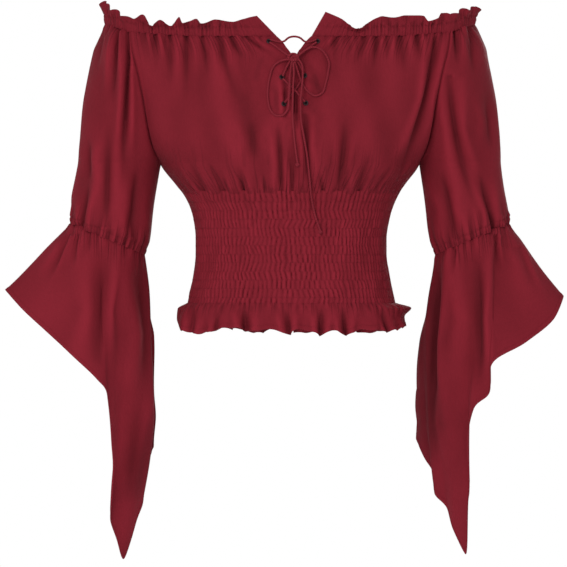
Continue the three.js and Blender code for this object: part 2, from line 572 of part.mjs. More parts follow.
// Closes cloth whose inside has the same cells as its outside. Free edges are walled in; the wall's diagonal
// starts from the higher outer point, so the two cloths of a seam have the same one.
function evenCloth(cells, outer, inner) {
  const made = new Surface();
  const edges = new Map();
  for (const cell of cells) {
    const out = cell.map((name) => made.vertex(`${name} out`, outer(name)));
    const into = cell.map((name) => made.vertex(`${name} in`, inner(name)));
    made.quad(...out);
    made.quad(...into.reverse());
    into.reverse();
    out.forEach((a, k) => {
      const next = (k + 1) % 4;
      edges.set(`${a} ${out[next]}`, [a, out[next], into[k], into[next]]);
    });
  }
  for (const [a, b, c, d] of edges.values()) {
    if (edges.has(`${b} ${a}`)) continue;
    if (made.height(a) > made.height(b)) made.faces.push(a, c, d, a, d, b);
    else made.faces.push(a, c, b, b, c, d);
  }
  return made.geometry();
}

// Closes a four-sided cloth whose plain inside has a point only at every few columns and rows.
function ribbedCloth({ columns, rows, outer, inner, every, flip }) {
  const made = new Surface();
  const out = (i, j) => made.vertex(`${i},${j} out`, outer(`${i},${j}`));
  const into = (i, j) => made.vertex(`${i},${j} in`, inner(`${i},${j}`));
  const cover = (at, stepX, stepY, turned) => {
    for (let j = 0; j < rows; j += stepY) {
      for (let i = 0; i < columns; i += stepX) {
        const cell = [at(i, j), at(i, j + stepY), at(i + stepX, j + stepY), at(i + stepX, j)];
        made.quad(...(turned ? cell.reverse() : cell));
      }
    }
  };
  cover(out, 1, 1, flip);
  cover(into, every.column, every.row, !flip);
  const run = (length, step) => Array.from({ length: length / step + 1 }, (_, k) => k * step);
  const sides = [
    [run(rows, 1).map((j) => out(0, j)), run(rows, every.row).map((j) => into(0, j)), false],
    [run(columns, 1).map((i) => out(i, rows)), run(columns, every.column).map((i) => into(i, rows)), false],
    [run(rows, 1).map((j) => out(columns, j)), run(rows, every.row).map((j) => into(columns, j)), true],
    [run(columns, 1).map((i) => out(i, 0)), run(columns, every.column).map((i) => into(i, 0)), true],
  ];
  for (const [fine, coarse, backward] of sides) {
    const step = (fine.length - 1) / (coarse.length - 1);
    for (let k = 0; k < coarse.length - 1; k += 1) {
      const fan = [[coarse[k], fine[k * step + 1], fine[k * step]]];
      for (let m = 1; m < step; m += 1) fan.push([coarse[k + 1], fine[k * step + m + 1], fine[k * step + m]]);
      fan.push([coarse[k], coarse[k + 1], fine[k * step + 1]]);
      for (const face of fan) made.faces.push(...(backward === flip ? face : face.reverse()));
    }
  }
  return made.geometry();
}

// Makes cloth from a grid. place(i, j) gives the smooth point, relief(i, j, point) how far the cloth stands
// off it, and override(i, j) a direction, or a plane for it, at a seam. shared(i, j) names the grid point,
// so that two that meet are one. flip turns the cloth's outside round, and plain makes its inside plain.
// A slit down the column columnBreak has its points twice, on lane -1 and lane 1.
function sheet({ columns, rows, place, relief = () => 0, override = () => null, shared, flip = false,
  thickness = CLOTH, plain = null, columnBreak = -1 }) {
  const key = shared ?? ((i, j) => `${i},${j}`);
  const spots = new Map();
  const wanted = new Map();
  for (let j = 0; j <= rows; j += 1) {
    for (let i = 0; i <= columns; i += 1) {
      for (const lane of i === columnBreak ? [-1, 1] : [0]) {
        const name = key(i, j, lane);
        if (!spots.has(name)) {
          spots.set(name, place(i, j, lane));
          wanted.set(name, override(i, j, lane));
        }
      }
    }
  }
  const lane = (i, cellColumn) => (i === columnBreak ? (cellColumn < columnBreak ? -1 : 1) : 0);
  const cells = [];
  for (let j = 0; j < rows; j += 1) {
    for (let i = 0; i < columns; i += 1) {
      const left = lane(i, i);
      const right = lane(i + 1, i);
      const cell = [key(i, j, left), key(i, j + 1, left), key(i + 1, j + 1, right), key(i + 1, j, right)];
      cells.push(flip ? cell.reverse() : cell);
    }
  }
  const base = new Map([...spots.keys()].map((name) => [name, new THREE.Vector3()]));
  for (const cell of cells) {
    const [a, b, c, d] = cell.map((name) => spots.get(name));
    const n = c.clone().sub(a).cross(d.clone().sub(b)).normalize();
    cell.forEach((name) => base.get(name).add(n));
  }
  for (const [name, n] of base) {
    const forced = wanted.get(name);
    if (!forced) n.normalize();
    else if (forced.isVector3) n.copy(forced).normalize();
    else n.addScaledVector(forced.plane, -n.dot(forced.plane)).normalize();
  }
  const raised = new Map();
  for (let j = 0; j <= rows; j += 1) {
    for (let i = 0; i <= columns; i += 1) {
      for (const side of i === columnBreak ? [-1, 1] : [0]) {
        const name = key(i, j, side);
        if (raised.has(name)) continue;
        const lift = relief(i, j, spots.get(name));
        raised.set(name, spots.get(name).clone().addScaledVector(base.get(name), lift));
      }
    }
  }
  const outer = (name) => raised.get(name);
  const below = plain ? spots : raised;
  const inner = (name) => below.get(name).clone().addScaledVector(base.get(name), -thickness);
  if (plain) return ribbedCloth({ columns, rows, outer, inner, every: plain, flip });
  return evenCloth(cells, outer, inner);
}

const group = new THREE.Group();
group.name = "blouse";
const clothMaterial = () => new THREE.MeshStandardMaterial({ color: 0x7f212e, roughness: 0.82, metalness: 0 });
const laceMaterial = () => new THREE.MeshStandardMaterial({ color: 0x86232f, roughness: 0.7, metalness: 0 });
const metalMaterial = () => new THREE.MeshStandardMaterial({ color: 0x1d1a1b, roughness: 0.4, metalness: 0.9 });

function add(name, geometry, material) {
  geometry.computeVertexNormals();
  const mesh = new THREE.Mesh(geometry, material);
  mesh.name = name;
  group.add(mesh);
}

const HORIZONTAL = { plane: new THREE.Vector3(0, 0, 1) };

// Fine gathers that fade away from a casing: full at distance 0, gone at reach.
const gather = (distance, reach) => GATHER_DEPTH * smooth(1 - distance / reach) ** 1.5;

// Front: one cloth from raglan to raglan, slit down from the neckline on its centre line.
function addFront() {
  const columns = 2 * FRONT_GATHERS;
  const half = columns / 2;
  const levels = [...RAGLAN_LEVELS, 1.34, 1.67, 2];
  const rows = levels.length - 1;
  const spread = (i) => Math.abs(i - half) / half;
  const sideOf = (i, lane) => (i === half ? lane || 1 : Math.sign(i - half));
  const open = (j) => -panelPoint(-1, 1, 0, levels[j]).z < SLIT_BOTTOM_DROP;
  const place = (i, j, lane) => {
    const side = sideOf(i, lane);
    const p = panelPoint(-1, side, spread(i), levels[j]);
    if (spread(i) === 1) {
      if (levels[j] <= 1) p.x -= (side * SEAM_GAP) / 2;
      if (levels[j] >= 1) p.y -= SEAM_GAP / 2;
    }
    return p;
  };
  const relief = (i, j, p) => {
    const ridge = i % 2 ? -1 : 1;
    const edge = smooth((1 - spread(i)) * 8);
    const clear = smooth((spread(i) - 0.16) / 0.2);
    const top = gather(-p.z, NECK_GATHER_REACH) * clear;
    const bottom = gather(p.z - SHIRRING_TOP_Z, WAIST_GATHER_REACH) * 1.2;
    return ridge * uneven(i) * edge * (top + bottom) + edge * troughs(FRONT_FOLDS, p.x, p.z);
  };
  const override = (i, j, lane) => {
    const side = sideOf(i, lane);
    if (spread(i) === 1 && levels[j] <= 1) return raglanNormal(side, -1, levels[j]);
    if (spread(i) === 1) return new THREE.Vector3(side, 0, 0);
    return j === 0 || j === rows ? HORIZONTAL : null;
  };
  const shared = (i, j, lane) => (i === half && open(j) ? `${i},${j},${lane}` : `${i},${j}`);
  add("front", sheet({ columns, rows, place, relief, override, shared, columnBreak: half }), clothMaterial());
}

function addBack() {
  const columns = 2 * BACK_GATHERS;
  const half = columns / 2;
  const levels = [...RAGLAN_LEVELS, 1.5, 2];
  const rows = levels.length - 1;
  const spread = (i) => Math.abs(i - half) / half;
  const sideOf = (i) => (i < half ? -1 : 1);
  const place = (i, j) => {
    const p = panelPoint(1, sideOf(i), spread(i), levels[j]);
    if (spread(i) === 1) {
      if (levels[j] <= 1) p.x -= (sideOf(i) * SEAM_GAP) / 2;
      if (levels[j] >= 1) p.y += SEAM_GAP / 2;
    }
    return p;
  };
  const relief = (i, j, p) => {
    const ridge = i % 2 ? -1 : 1;
    const edge = smooth((1 - spread(i)) * 8);
    const top = gather(-p.z - BACK_DIP * (1 - spread(i)), NECK_GATHER_REACH);
    const bottom = gather(p.z - SHIRRING_TOP_Z, WAIST_GATHER_REACH) * 1.2;
    return ridge * uneven(i) * edge * (top + bottom) + edge * troughs(BACK_FOLDS, p.x, p.z);
  };
  const override = (i, j) => {
    if (spread(i) === 1 && levels[j] <= 1) return raglanNormal(sideOf(i), 1, levels[j]);
    if (spread(i) === 1) return new THREE.Vector3(sideOf(i), 0, 0);
    return j === 0 || j === rows ? HORIZONTAL : null;
  };
  add("back", sheet({ columns, rows, place, relief, override, flip: true }), clothMaterial());
}

// Sleeve: open between the raglan seams above the armpit, a closed tube below it.
function addSleeve(name, side, folds) {
  const columns = 24;
  const levels = [...RAGLAN_LEVELS, 1.25, 1.5, 1.72, 1.88, 2];
  const rows = levels.length - 1;
  const wrap = (i, j) => (levels[j] >= 1 ? i % columns : i);
  const place = (i, j) => {
    const p = sleevePoint(side, i / columns, levels[j]);
    if ((i === 0 || i === columns) && levels[j] <= 1) p.x += (side * SEAM_GAP) / 2;
    if (j === rows) p.addScaledVector(elbowNormal(side), -SEAM_GAP / 2);
    return p;
  };
  const relief = (i, j, p) => {
    const around = i / columns;
    const edge = levels[j] < 1 ? smooth(Math.min(around, 1 - around) * 10) : 1;
    const ripple = Math.cos(2 * Math.PI * SLEEVE_GATHERS * around);
    const elbowRipple = Math.cos(2 * Math.PI * ELBOW_GATHERS * around);
    const top = 1.4 * gather(levels[j] * 110, NECK_GATHER_REACH) * ripple;
    const elbow = gather((2 - levels[j]) * 94, WAIST_GATHER_REACH) * elbowRipple;
    const fold = troughs(folds, side * p.x, p.z) * smooth(Math.abs(p.y - SIDE_Y) / 24);
    return edge * (uneven(i) * (top + elbow) + fold);
  };
  const override = (i, j) => {
    const atSeam = i === 0 || i === columns;
    if (atSeam && levels[j] <= 1) return raglanNormal(side, i === 0 ? -1 : 1, levels[j]);
    if (j === 0) return HORIZONTAL;
    return j === rows ? { plane: elbowNormal(side) } : null;
  };
  const shared = (i, j) => `${wrap(i, j)},${j}`;
  add(name, sheet({ columns, rows, place, relief, override, shared, flip: side < 0 }), clothMaterial());
}

// Flounce: a closed ring at the elbow casing that hangs to a long point on the body's side.
function addFlounce(name, side, table, folds) {
  const first = table[0];
  const closed = [...table, { ...first, turn: first.turn + 360 }];
  const edge = reader(closed, "turn");
  const turns = [];
  closed.slice(0, -1).forEach((row, k) => {
    const gap = closed[k + 1].turn - row.turn;
    turns.push(row.turn);
    if (gap > 14) turns.push(row.turn + gap / 2);
  });
  const columns = turns.length;
  const downs = [0, 0.07, 0.2, 0.36, 0.54, 0.71, 0.87, 1];
  const rows = downs.length - 1;
  const place = (i, j) => {
    const p = flouncePoint(side, edge, turns[i % columns], downs[j]);
    if (j === 0) p.addScaledVector(elbowNormal(side), SEAM_GAP / 2);
    return p;
  };
  const relief = (i, j, p) => {
    const ripple = Math.cos((2 * Math.PI * ELBOW_GATHERS * turns[i % columns]) / 360);
    const front = smooth((SIDE_Y - p.y) / 16);
    const top = gather(downs[j] * 150, 40) * ripple * uneven(i % columns);
    return top + front * troughs(folds, side * p.x, p.z);
  };
  const override = (i, j) => (j === 0 ? { plane: elbowNormal(side) } : null);
  const shared = (i, j) => `${i % columns},${j}`;
  add(name, sheet({ columns, rows, place, relief, override, shared, flip: side < 0 }), clothMaterial());
}

// Shirred waist: rows of elastic pinch narrow pleats, which swell between the rows and shift sideways.
function addShirring(name, face, pleats) {
  const columns = 2 * pleats;
  const rows = 2 * SHIRRING_ROWS;
  const top = SHIRRING_TOP_Z - SEAM_GAP;
  const bottom = SHIRRING_BOTTOM_Z + SEAM_GAP;
  const place = (i, j) => {
    const sway = i === 0 || i === columns ? 0 : 0.32 * Math.sin(1.9 * j + 0.6 * Math.sin(0.35 * i));
    const p = waistPoint(face, -1 + (2 * (i + sway)) / columns, mix(top, bottom, j / rows));
    if (i === 0 || i === columns) p.y += (face * SEAM_GAP) / 2;
    return p;
  };
  const relief = (i, j) => {
    const edge = i === 0 || i === columns ? 0 : 1;
    const puff = j % 2 ? 1 : 0.7;
    const ridge = i % 2 ? uneven(i + 5 * j) : 0.1;
    return edge * SHIRRING_RELIEF * puff * ridge;
  };
  const override = (i, j) => {
    if (i === 0 || i === columns) return new THREE.Vector3(i === 0 ? -1 : 1, 0, 0);
    return j === 0 || j === rows ? HORIZONTAL : null;
  };
  const made = sheet({ columns, rows, place, relief, override, flip: face > 0, thickness: SHIRRED_CLOTH,
    plain: { column: 2, row: 4 } });
  add(name, made, clothMaterial());
}

// Hem ruffle below the shirring, in soft waves and deeper folds that grow towards its free edge.
function addHemRuffle(name, face, edgeTable, folds) {
  const columns = 4 * HEM_WAVES;
  const downs = [0, 0.22, 0.58, 1];
  const rows = downs.length - 1;
  const top = SHIRRING_BOTTOM_Z - SEAM_GAP;
  const edge = reader(edgeTable, "x");
  const place = (i, j) => {
    const across = -1 + (2 * i) / columns;
    const down = downs[j];
    const p = waistPoint(face, across, SHIRRING_BOTTOM_Z);
    const out = new THREE.Vector3(p.x, p.y * 1.5, 0).normalize();
    const atEnd = i === 0 || i === columns;
    if (atEnd) out.set(Math.sign(across), 0, 0);
    const wave = atEnd ? 0 : Math.cos((2 * Math.PI * i) / 4 + 0.5 * Math.sin(i)) * uneven(i >> 2);
    const side = hemSide(across < 0 ? "right" : "left", down);
    const flare = mix(HEM_FLARE * down ** 0.8, side, across ** 4);
    p.addScaledVector(out, flare + wave * HEM_WAVE_DEPTH * down ** 1.2);
    p.z = mix(top, edge("z", p.x), down);
    if (atEnd) p.y = SIDE_Y + (face * SEAM_GAP) / 2;
    return p;
  };
  const relief = (i, j, p) => (i === 0 || i === columns ? 0 : troughs(folds, p.x, p.z));
  const override = (i, j) => {
    if (i === 0 || i === columns) return new THREE.Vector3(i === 0 ? -1 : 1, 0, 0);
    return j === 0 ? HORIZONTAL : null;
  };
  add(name, sheet({ columns, rows, place, relief, override, flip: face > 0 }), clothMaterial());
}

// Neckline frill above one piece's casing. spine(t) is the casing's curve; height, lean, strength and scallop
// shape the frill along it, and ends are the directions at its two ends.
function addFrill(name, { waves, spine, height, lean, strength, scallop, ends, outward }) {
  const columns = 4 * waves;
  const ups = [0, 0.4, 1];
  const rows = ups.length - 1;
  const frameAt = (t) => {
    const step = 0.004;
    const along = spine(Math.min(1, t + step)).sub(spine(Math.max(0, t - step))).setZ(0).normalize();
    const out = new THREE.Vector3(along.y, -along.x, 0).multiplyScalar(outward);
    return { along, out };
  };
  const place = (i, j) => {
    const t = i / columns;
    const { along, out } = frameAt(t);
    const end = i === 0 ? ends[0] : i === columns ? ends[1] : null;
    const up = ups[rows - j];
    const wave = end ? 0 : Math.sin((2 * Math.PI * i) / 4) * strength(t) * uneven(i >> 2);
    const rise = end ? 0 : Math.cos((2 * Math.PI * i) / 4 + 0.8) * scallop * strength(t);
    const p = spine(t);
    const tall = height(t) + rise;
    const flop = Math.max(0, FRILL_TALL - height(t)) * FRILL_FLOP;
    p.z += NECK_SEAM_GAP + tall * up;
    p.addScaledVector(end?.out ?? out, (FRILL_FLARE + flop + wave * FRILL_WAVE) * up);
    p.addScaledVector(along, lean(t) * up);
    if (end) p.x += end.shift;
    return p;
  };
  const override = (i, j) => {
    const end = i === 0 ? ends[0] : i === columns ? ends[1] : null;
    if (end?.out) return end.out;
    return j === rows ? HORIZONTAL : null;
  };
  add(name, sheet({ columns, rows, place, override, flip: outward < 0 }), clothMaterial());
}

function addFrills() {
  const distance = RIGHT_FRILL[RIGHT_FRILL.length - 1].along;
  const forward = new THREE.Vector3(0, -1, 0);
  const backward = new THREE.Vector3(0, 1, 0);
  for (const side of [-1, 1]) {
    const label = side < 0 ? "right" : "left";
    const table = side < 0 ? RIGHT_FRILL : LEFT_FRILL;
    const frill = reader(table, "along");
    const seamHeight = table[table.length - 1].height;
    addFrill(`frill_front_${label}`, {
      waves: FRONT_FRILL_WAVES,
      spine: (t) => panelPoint(-1, side, t, 0),
      height: (t) => frill("height", t * distance),
      lean: (t) => frill("lean", t * distance),
      strength: (t) => frill("wave", t * distance) * smooth((1 - t) * 9),
      scallop: 0,
      ends: [{ out: null, shift: 0 }, { out: forward, shift: (-side * SEAM_GAP) / 2 }],
      outward: side,
    });
    addFrill(`frill_sleeve_${label}`, {
      waves: SLEEVE_FRILL_WAVES,
      spine: (t) => sleevePoint(side, t, 0),
      height: (t) => mix(
        t < 0.5 ? seamHeight : BACK_FRILL_HEIGHT,
        SHOULDER_HEIGHT[label],
        smooth(1 - Math.abs(2 * t - 1)),
      ),
      lean: () => 0,
      strength: (t) => smooth(Math.min(t, 1 - t) * 9),
      scallop: FRILL_SCALLOP,
      ends: [
        { out: forward, shift: (side * SEAM_GAP) / 2 },
        { out: backward, shift: (side * SEAM_GAP) / 2 },
      ],
      outward: side,
    });
  }
  addFrill("frill_back", {
    waves: BACK_FRILL_WAVES,
    spine: (t) => panelPoint(1, t < 0.5 ? -1 : 1, Math.abs(2 * t - 1), 0),
    height: () => BACK_FRILL_HEIGHT,
    lean: () => 0,
    strength: (t) => smooth(Math.min(t, 1 - t) * 16),
    scallop: FRILL_SCALLOP,
    ends: [
      { out: backward, shift: SEAM_GAP / 2 },
      { out: backward, shift: -SEAM_GAP / 2 },
    ],
    outward: -1,
  });
}

// Depth of the front's cloth at (x, z): its foremost point within reach. The open slit is bridged.
function clothY(x, z, reach) {
  const faces = ["front", "shirring_front"].map((name) => group.getObjectByName(name));
  const forward = new THREE.Vector3(0, 1, 0);
  const steps = [[0, 0], [-reach, 0], [reach, 0], [0, -reach], [0, reach]];
  const found = steps.flatMap(([dx, dz]) => {
    const ray = new THREE.Raycaster(new THREE.Vector3(x + dx, RAY_START_Y, z + dz), forward);
    return ray.intersectObjects(faces).map((hit) => hit.point.y).filter((y) => y < 0);
  });
  return found.length ? Math.min(...found) : -body("front", -z);
}
const overFront = (x, z, above) => new THREE.Vector3(x, clothY(x, z, CORD * 0.6) - above, z);

function addEyelets() {
  const { outer, inner, thick, rim, above } = EYELET;
  const profile = [
    [inner, 0],
    [outer, 0],
    [outer - rim, thick],
    [inner + rim, thick],
    [inner, 0],
  ].map(([r, h]) => new THREE.Vector2(r, h));
  for (const { name, x, z } of EYELETS) {
    const geometry = new THREE.LatheGeometry(profile, 8);
    const at = (dx, dz) => new THREE.Vector3(x + dx, clothY(x + dx, z + dz, 0), z + dz);
    const across = at(outer, 0).sub(at(-outer, 0));
    const up = at(0, outer).sub(at(0, -outer));
    const normal = across.cross(up).normalize();
    const middle = at(-outer, 0).add(at(outer, 0)).divideScalar(2);
    const spots = [[outer, 0], [-outer, 0], [0, outer], [0, -outer], [inner, inner], [-inner, -inner],
      [inner, -inner], [-inner, inner]];
    const proud = Math.max(...spots.map(([dx, dz]) => at(dx, dz).sub(middle).dot(normal)));
    geometry.applyQuaternion(new THREE.Quaternion().setFromUnitVectors(new THREE.Vector3(0, 1, 0), normal));
    middle.addScaledVector(normal, proud + above);
    geometry.translate(middle.x, middle.y, middle.z);
    add(name, closed(geometry), metalMaterial());
  }
}

// Drops normals and texture coordinates so that shared vertices are one.
function closed(geometry) {
  geometry.deleteAttribute("normal");
  geometry.deleteAttribute("uv");
  return geometry;
}

function addLaces() {
  const circle = new THREE.Shape();
  for (let k = 0; k < CORD_SIDES; k += 1) {
    const angle = (2 * Math.PI * k) / CORD_SIDES;
    const corner = [(CORD / 2) * Math.cos(angle), (CORD / 2) * Math.sin(angle)];
    if (k === 0) circle.moveTo(...corner);
    else circle.lineTo(...corner);
  }
  for (const { name, steps, route } of LACES) {
    const plan = new THREE.CatmullRomCurve3(route.map((p) => new THREE.Vector3(...p)), false, "centripetal");
    const spots = plan.getSpacedPoints(2 * steps).map((p) => overFront(p.x, p.y, p.z));
    const path = new THREE.CatmullRomCurve3(spots, false, "centripetal");
    add(name, closed(new THREE.ExtrudeGeometry(circle, { steps, extrudePath: path })), laceMaterial());
  }
  const knot = new THREE.SphereGeometry(1, 10, 7);
  knot.scale(KNOT.wide, KNOT.deep, KNOT.tall);
  const at = overFront(KNOT.x, KNOT.z, KNOT.above);
  knot.translate(at.x, at.y, at.z);
  add("lace_knot", closed(knot), laceMaterial());
}

addFront();
addBack();
addSleeve("sleeve_right", -1, RIGHT_SLEEVE_FOLDS);
addSleeve("sleeve_left", 1, LEFT_SLEEVE_FOLDS);
addFlounce("flounce_right", -1, RIGHT_FLOUNCE_EDGE, RIGHT_FLOUNCE_FOLDS);
addFlounce("flounce_left", 1, LEFT_FLOUNCE_EDGE, LEFT_FLOUNCE_FOLDS);
addShirring("shirring_front", -1, FRONT_SHIRRING_PLEATS);
addShirring("shirring_back", 1, BACK_SHIRRING_PLEATS);
addHemRuffle("hem_ruffle_front", -1, FRONT_HEM_EDGE, FRONT_HEM_FOLDS);
addHemRuffle("hem_ruffle_back", 1, BACK_HEM_EDGE, BACK_HEM_FOLDS);
addFrills();
addEyelets();
addLaces();

export default group;
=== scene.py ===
"""Off-the-shoulder peasant blouse: the look of its cloth, sewing and lace.

Lengths are in millimetres until a mesh is made, and then in metres. The tables and the surfaces repeat the
solids', and each cloth is a thin shell on them with a finer grid, its creases, gathers and stitches.
"""
import math

import bpy
import numpy as np
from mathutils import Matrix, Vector
from mathutils.bvhtree import BVHTree


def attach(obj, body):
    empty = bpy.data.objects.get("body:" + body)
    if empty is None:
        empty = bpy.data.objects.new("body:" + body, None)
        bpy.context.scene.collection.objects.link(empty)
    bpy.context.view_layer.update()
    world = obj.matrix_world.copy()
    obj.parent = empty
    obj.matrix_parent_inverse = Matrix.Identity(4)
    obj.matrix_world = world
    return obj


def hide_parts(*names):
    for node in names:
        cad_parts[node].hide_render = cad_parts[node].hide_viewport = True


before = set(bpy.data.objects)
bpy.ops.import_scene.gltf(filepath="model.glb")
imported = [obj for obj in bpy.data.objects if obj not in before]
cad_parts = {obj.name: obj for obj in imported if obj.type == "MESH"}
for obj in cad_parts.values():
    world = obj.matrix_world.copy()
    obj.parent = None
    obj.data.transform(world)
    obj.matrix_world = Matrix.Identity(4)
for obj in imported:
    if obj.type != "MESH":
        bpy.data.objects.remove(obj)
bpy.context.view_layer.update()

MM = 0.001
CLOTH = 0.8
CORD = 2.6

ARMPIT_Z = -158
SHIRRING_TOP_Z = -195
SHIRRING_BOTTOM_Z = -331
SIDE_Y = 3
RAGLAN_TOP_Z = 5.7
SHOULDER_RISE = 11.3
BACK_DIP = 41
ELBOW_Z = -251.5
ELBOW_TILT = 19.5


def table(columns, *rows):
    """A table with named columns."""
    return {name: np.array([row[k] for row in rows], float) for k, name in enumerate(columns.split())}


RAGLAN = table(
    "level turn z",
    (0, 112, RAGLAN_TOP_Z), (0.1, 102, -17), (0.24, 91, -40), (0.4, 79, -67), (0.56, 67, -93),
    (0.7, 55, -116), (0.83, 40, -137), (0.93, 21, -151), (1, 0, ARMPIT_Z),
)
BODY = table(
    "drop half front back centre middle",
    (0, 199, 97, 104, 0, 5), (45, 190, 111, 108, 0, 5), (95, 182, 121, 107, 0, 5),
    (130, 172, 122.5, 103, 0, 4.5), (158, 162, 120, 99, 0, 4), (185, 142, 111, 93.5, 0.5, 3),
    (195, 135, 105, 90.5, 1.5, 2), (210, 127.5, 96, 86, 2, 2), (225, 123, 90.5, 82.5, 2, 2),
    (250, 119.5, 86.5, 79.5, 1.5, 2), (270, 119.5, 86.5, 80.5, 1.5, 2), (300, 123.5, 89.5, 85, 2, 2),
    (331, 130, 94, 91, 2, 2),
)
SLEEVE = table(
    "level out wide deep",
    (0, 180, 51, 78), (0.15, 186, 61, 82), (0.45, 198, 59, 74), (0.67, 206, 55, 65), (0.88, 212, 52.5, 58),
    (1, 213.5, 51.5, 54), (1.5, 220.5, 50, 50.5), (1.85, 225, 50, 47), (2, 228, 46, 42),
)
SLIT_BOTTOM_DROP = 96
SLIT = table("drop half", (0, 22), (7.5, 14.5), (15, 9), (22, 4), (35, 1.8), (96, 0.8))

FOLD_COLUMNS = "x0 z0 x1 z1 bend half deep full"
FRONT_FOLDS = table(
    FOLD_COLUMNS,
    (-169, 0, -169, -28, 0, 5, 2.5, 0), (-150, 0, -150, -72, 1, 6, 3.4, 0),
    (-129, 0, -131, -94, 1, 6, 3.8, 0), (-109, 0, -102, -60, 1, 5, 3.6, 0),
    (-89, 0, -58, -96, -2, 6, 3.4, 0), (-74, -1, -52, -34, -2, 5, 3.4, 0),
    (-57, 3, -20, -24, -3, 5, 3.5, 0.3), (62, 3, 40, -20, 3, 5, 3, 0.3), (92, -2, 78, -40, 1, 5, 3, 0),
    (108, 0, 103, -48, 0, 5, 3.2, 0), (121, 0, 119, -34, 0, 4, 2.4, 0), (138, 0, 143, -52, 0, 6, 3.6, 0),
    (158, 0, 164, -34, 0, 5, 2.6, 0), (182, 0, 130, -190, 9, 6.5, 11, 0.4),
    (-132, -140, -104, -200, 0, 6, 3, 1), (-108, -146, -78, -200, 0, 6, 3.4, 1),
    (-48, -100, -44, -160, 0, 8, 3.4, 0.5), (-64, -158, -56, -198, 0, 4, 3, 1),
    (-16, -98, -11, -198, 1, 5, 4.6, 0.6), (2, -150, 3, -198, 0, 4, 3, 1),
    (19, -96, 26, -198, -1, 5, 5, 0.4), (34, -158, 42, -198, 0, 4, 3, 1),
    (69, -96, 60, -198, 2, 6, 4.4, 0.6), (102, -136, 84, -200, 0, 6, 3.6, 1),
    (8, -58, 9, -116, 0, 3, 3.4, 0.6), (-7, -42, -5, -104, 0, 3, 2.8, 0.6),
)
BACK_FOLDS = table(
    FOLD_COLUMNS,
    (-165, 2, -158, -60, 0, 6, 3.4, 0), (-128, 0, -122, -84, 1, 6, 3.6, 0),
    (-86, -26, -80, -80, 0, 6, 3.2, 0), (-42, -36, -44, -104, 1, 6, 3.6, 0), (6, -40, 4, -94, 0, 6, 3.2, 0),
    (52, -36, 56, -106, -1, 6, 3.6, 0), (94, -24, 88, -84, 0, 6, 3.2, 0), (134, 0, 126, -86, 0, 6, 3.6, 0),
    (170, 2, 160, -58, 0, 6, 3.2, 0), (-138, -120, -112, -200, 0, 7, 4, 1),
    (-84, -128, -72, -200, 0, 6, 3.6, 1), (-34, -112, -30, -200, 0, 6, 4, 1),
    (14, -132, 14, -200, 0, 5, 3.4, 1), (62, -118, 54, -200, 0, 6, 4, 1), (118, -122, 98, -200, 0, 7, 4, 1),
)
SLEEVE_FOLDS = {
    -1: table(
        FOLD_COLUMNS,
        (214, 20, 222, -92, 0, 4.5, 5, 0.2), (200, 8, 209, -182, -1, 4.5, 6, 0.3),
        (236, 8, 243, -54, 0, 5, 3, 0), (226, -96, 229, -236, 0, 9, 3.6, 0.6),
        (250, -120, 252, -186, 0, 6, 2.4, 0.5), (252, -176, 263, -244, 0, 5, 3.6, 0.7),
        (188, -150, 196, -250, 0, 8, 3, 0.6),
    ),
    1: table(
        FOLD_COLUMNS,
        (206, 8, 209, -40, 0, 5, 3.6, 0), (226, 14, 230, -60, 0, 6, 3, 0),
        (198, -50, 232, -214, -7, 8, 4.4, 0.4), (234, -158, 258, -246, 0, 6, 4, 0.7),
        (246, -60, 252, -150, 0, 7, 2.6, 0.5), (186, -160, 204, -252, 0, 8, 3.4, 0.6),
    ),
}
EDGE_COLUMNS = "turn out y z in fore"
FLOUNCE_EDGE = {
    -1: table(
        EDGE_COLUMNS,
        (-25, 171, 30, -516, 9, 0), (-12, 186, 22, -552, 10, 0), (0, 185, 15, -578, 12, 1),
        (12, 193, 8, -604, 10, 3), (25, 207, 0, -652, 7, 5), (38, 216, -9, -626, 3, 7),
        (50, 222, -19, -602, 0, 8), (65, 221, -31, -570, -3, 9), (80, 223, -45, -501, -3, 10),
        (95, 227, -57, -444, -2, 9), (112, 240, -62, -426, 0, 7), (130, 268, -57, -399, 0, 5),
        (150, 303, -42, -367, 0, 3), (166, 335, -22, -338, 0, 1), (180, 358, 5, -313, 3, 0),
        (196, 334, 32, -330, 0, -2), (216, 300, 50, -352, 0, -5), (240, 262, 62, -380, 0, -7),
        (268, 222, 66, -408, 2, -9), (296, 188, 56, -438, 6, -6), (318, 170, 42, -478, 8, -2),
        (335, 171, 30, -516, 9, 0),
    ),
    1: table(
        EDGE_COLUMNS,
        (-25, 162, 32, -505, 8, 0), (-12, 170, 24, -527, 9, 0), (0, 179, 17, -545, 11, 1),
        (12, 180, 10, -568, 10, 3), (25, 197, 3, -588, 8, 5), (38, 206, -6, -615, 4, 7),
        (50, 220, -15, -645, 1, 8), (65, 223, -28, -560, -4, 9), (80, 222, -42, -508, -5, 10),
        (95, 229, -54, -462, -5, 9), (112, 247, -62, -443, -5, 7), (130, 251, -64, -408, 0, 6),
        (150, 294, -48, -380, 0, 3), (166, 330, -26, -350, 0, 1), (180, 343, 4, -322, 1, 0),
        (196, 322, 30, -338, 0, -2), (216, 292, 48, -358, 0, -5), (240, 256, 61, -384, 0, -7),
        (268, 218, 66, -410, 2, -9), (296, 184, 57, -438, 6, -6), (318, 166, 44, -474, 8, -2),
        (335, 162, 32, -505, 8, 0),
    ),
}
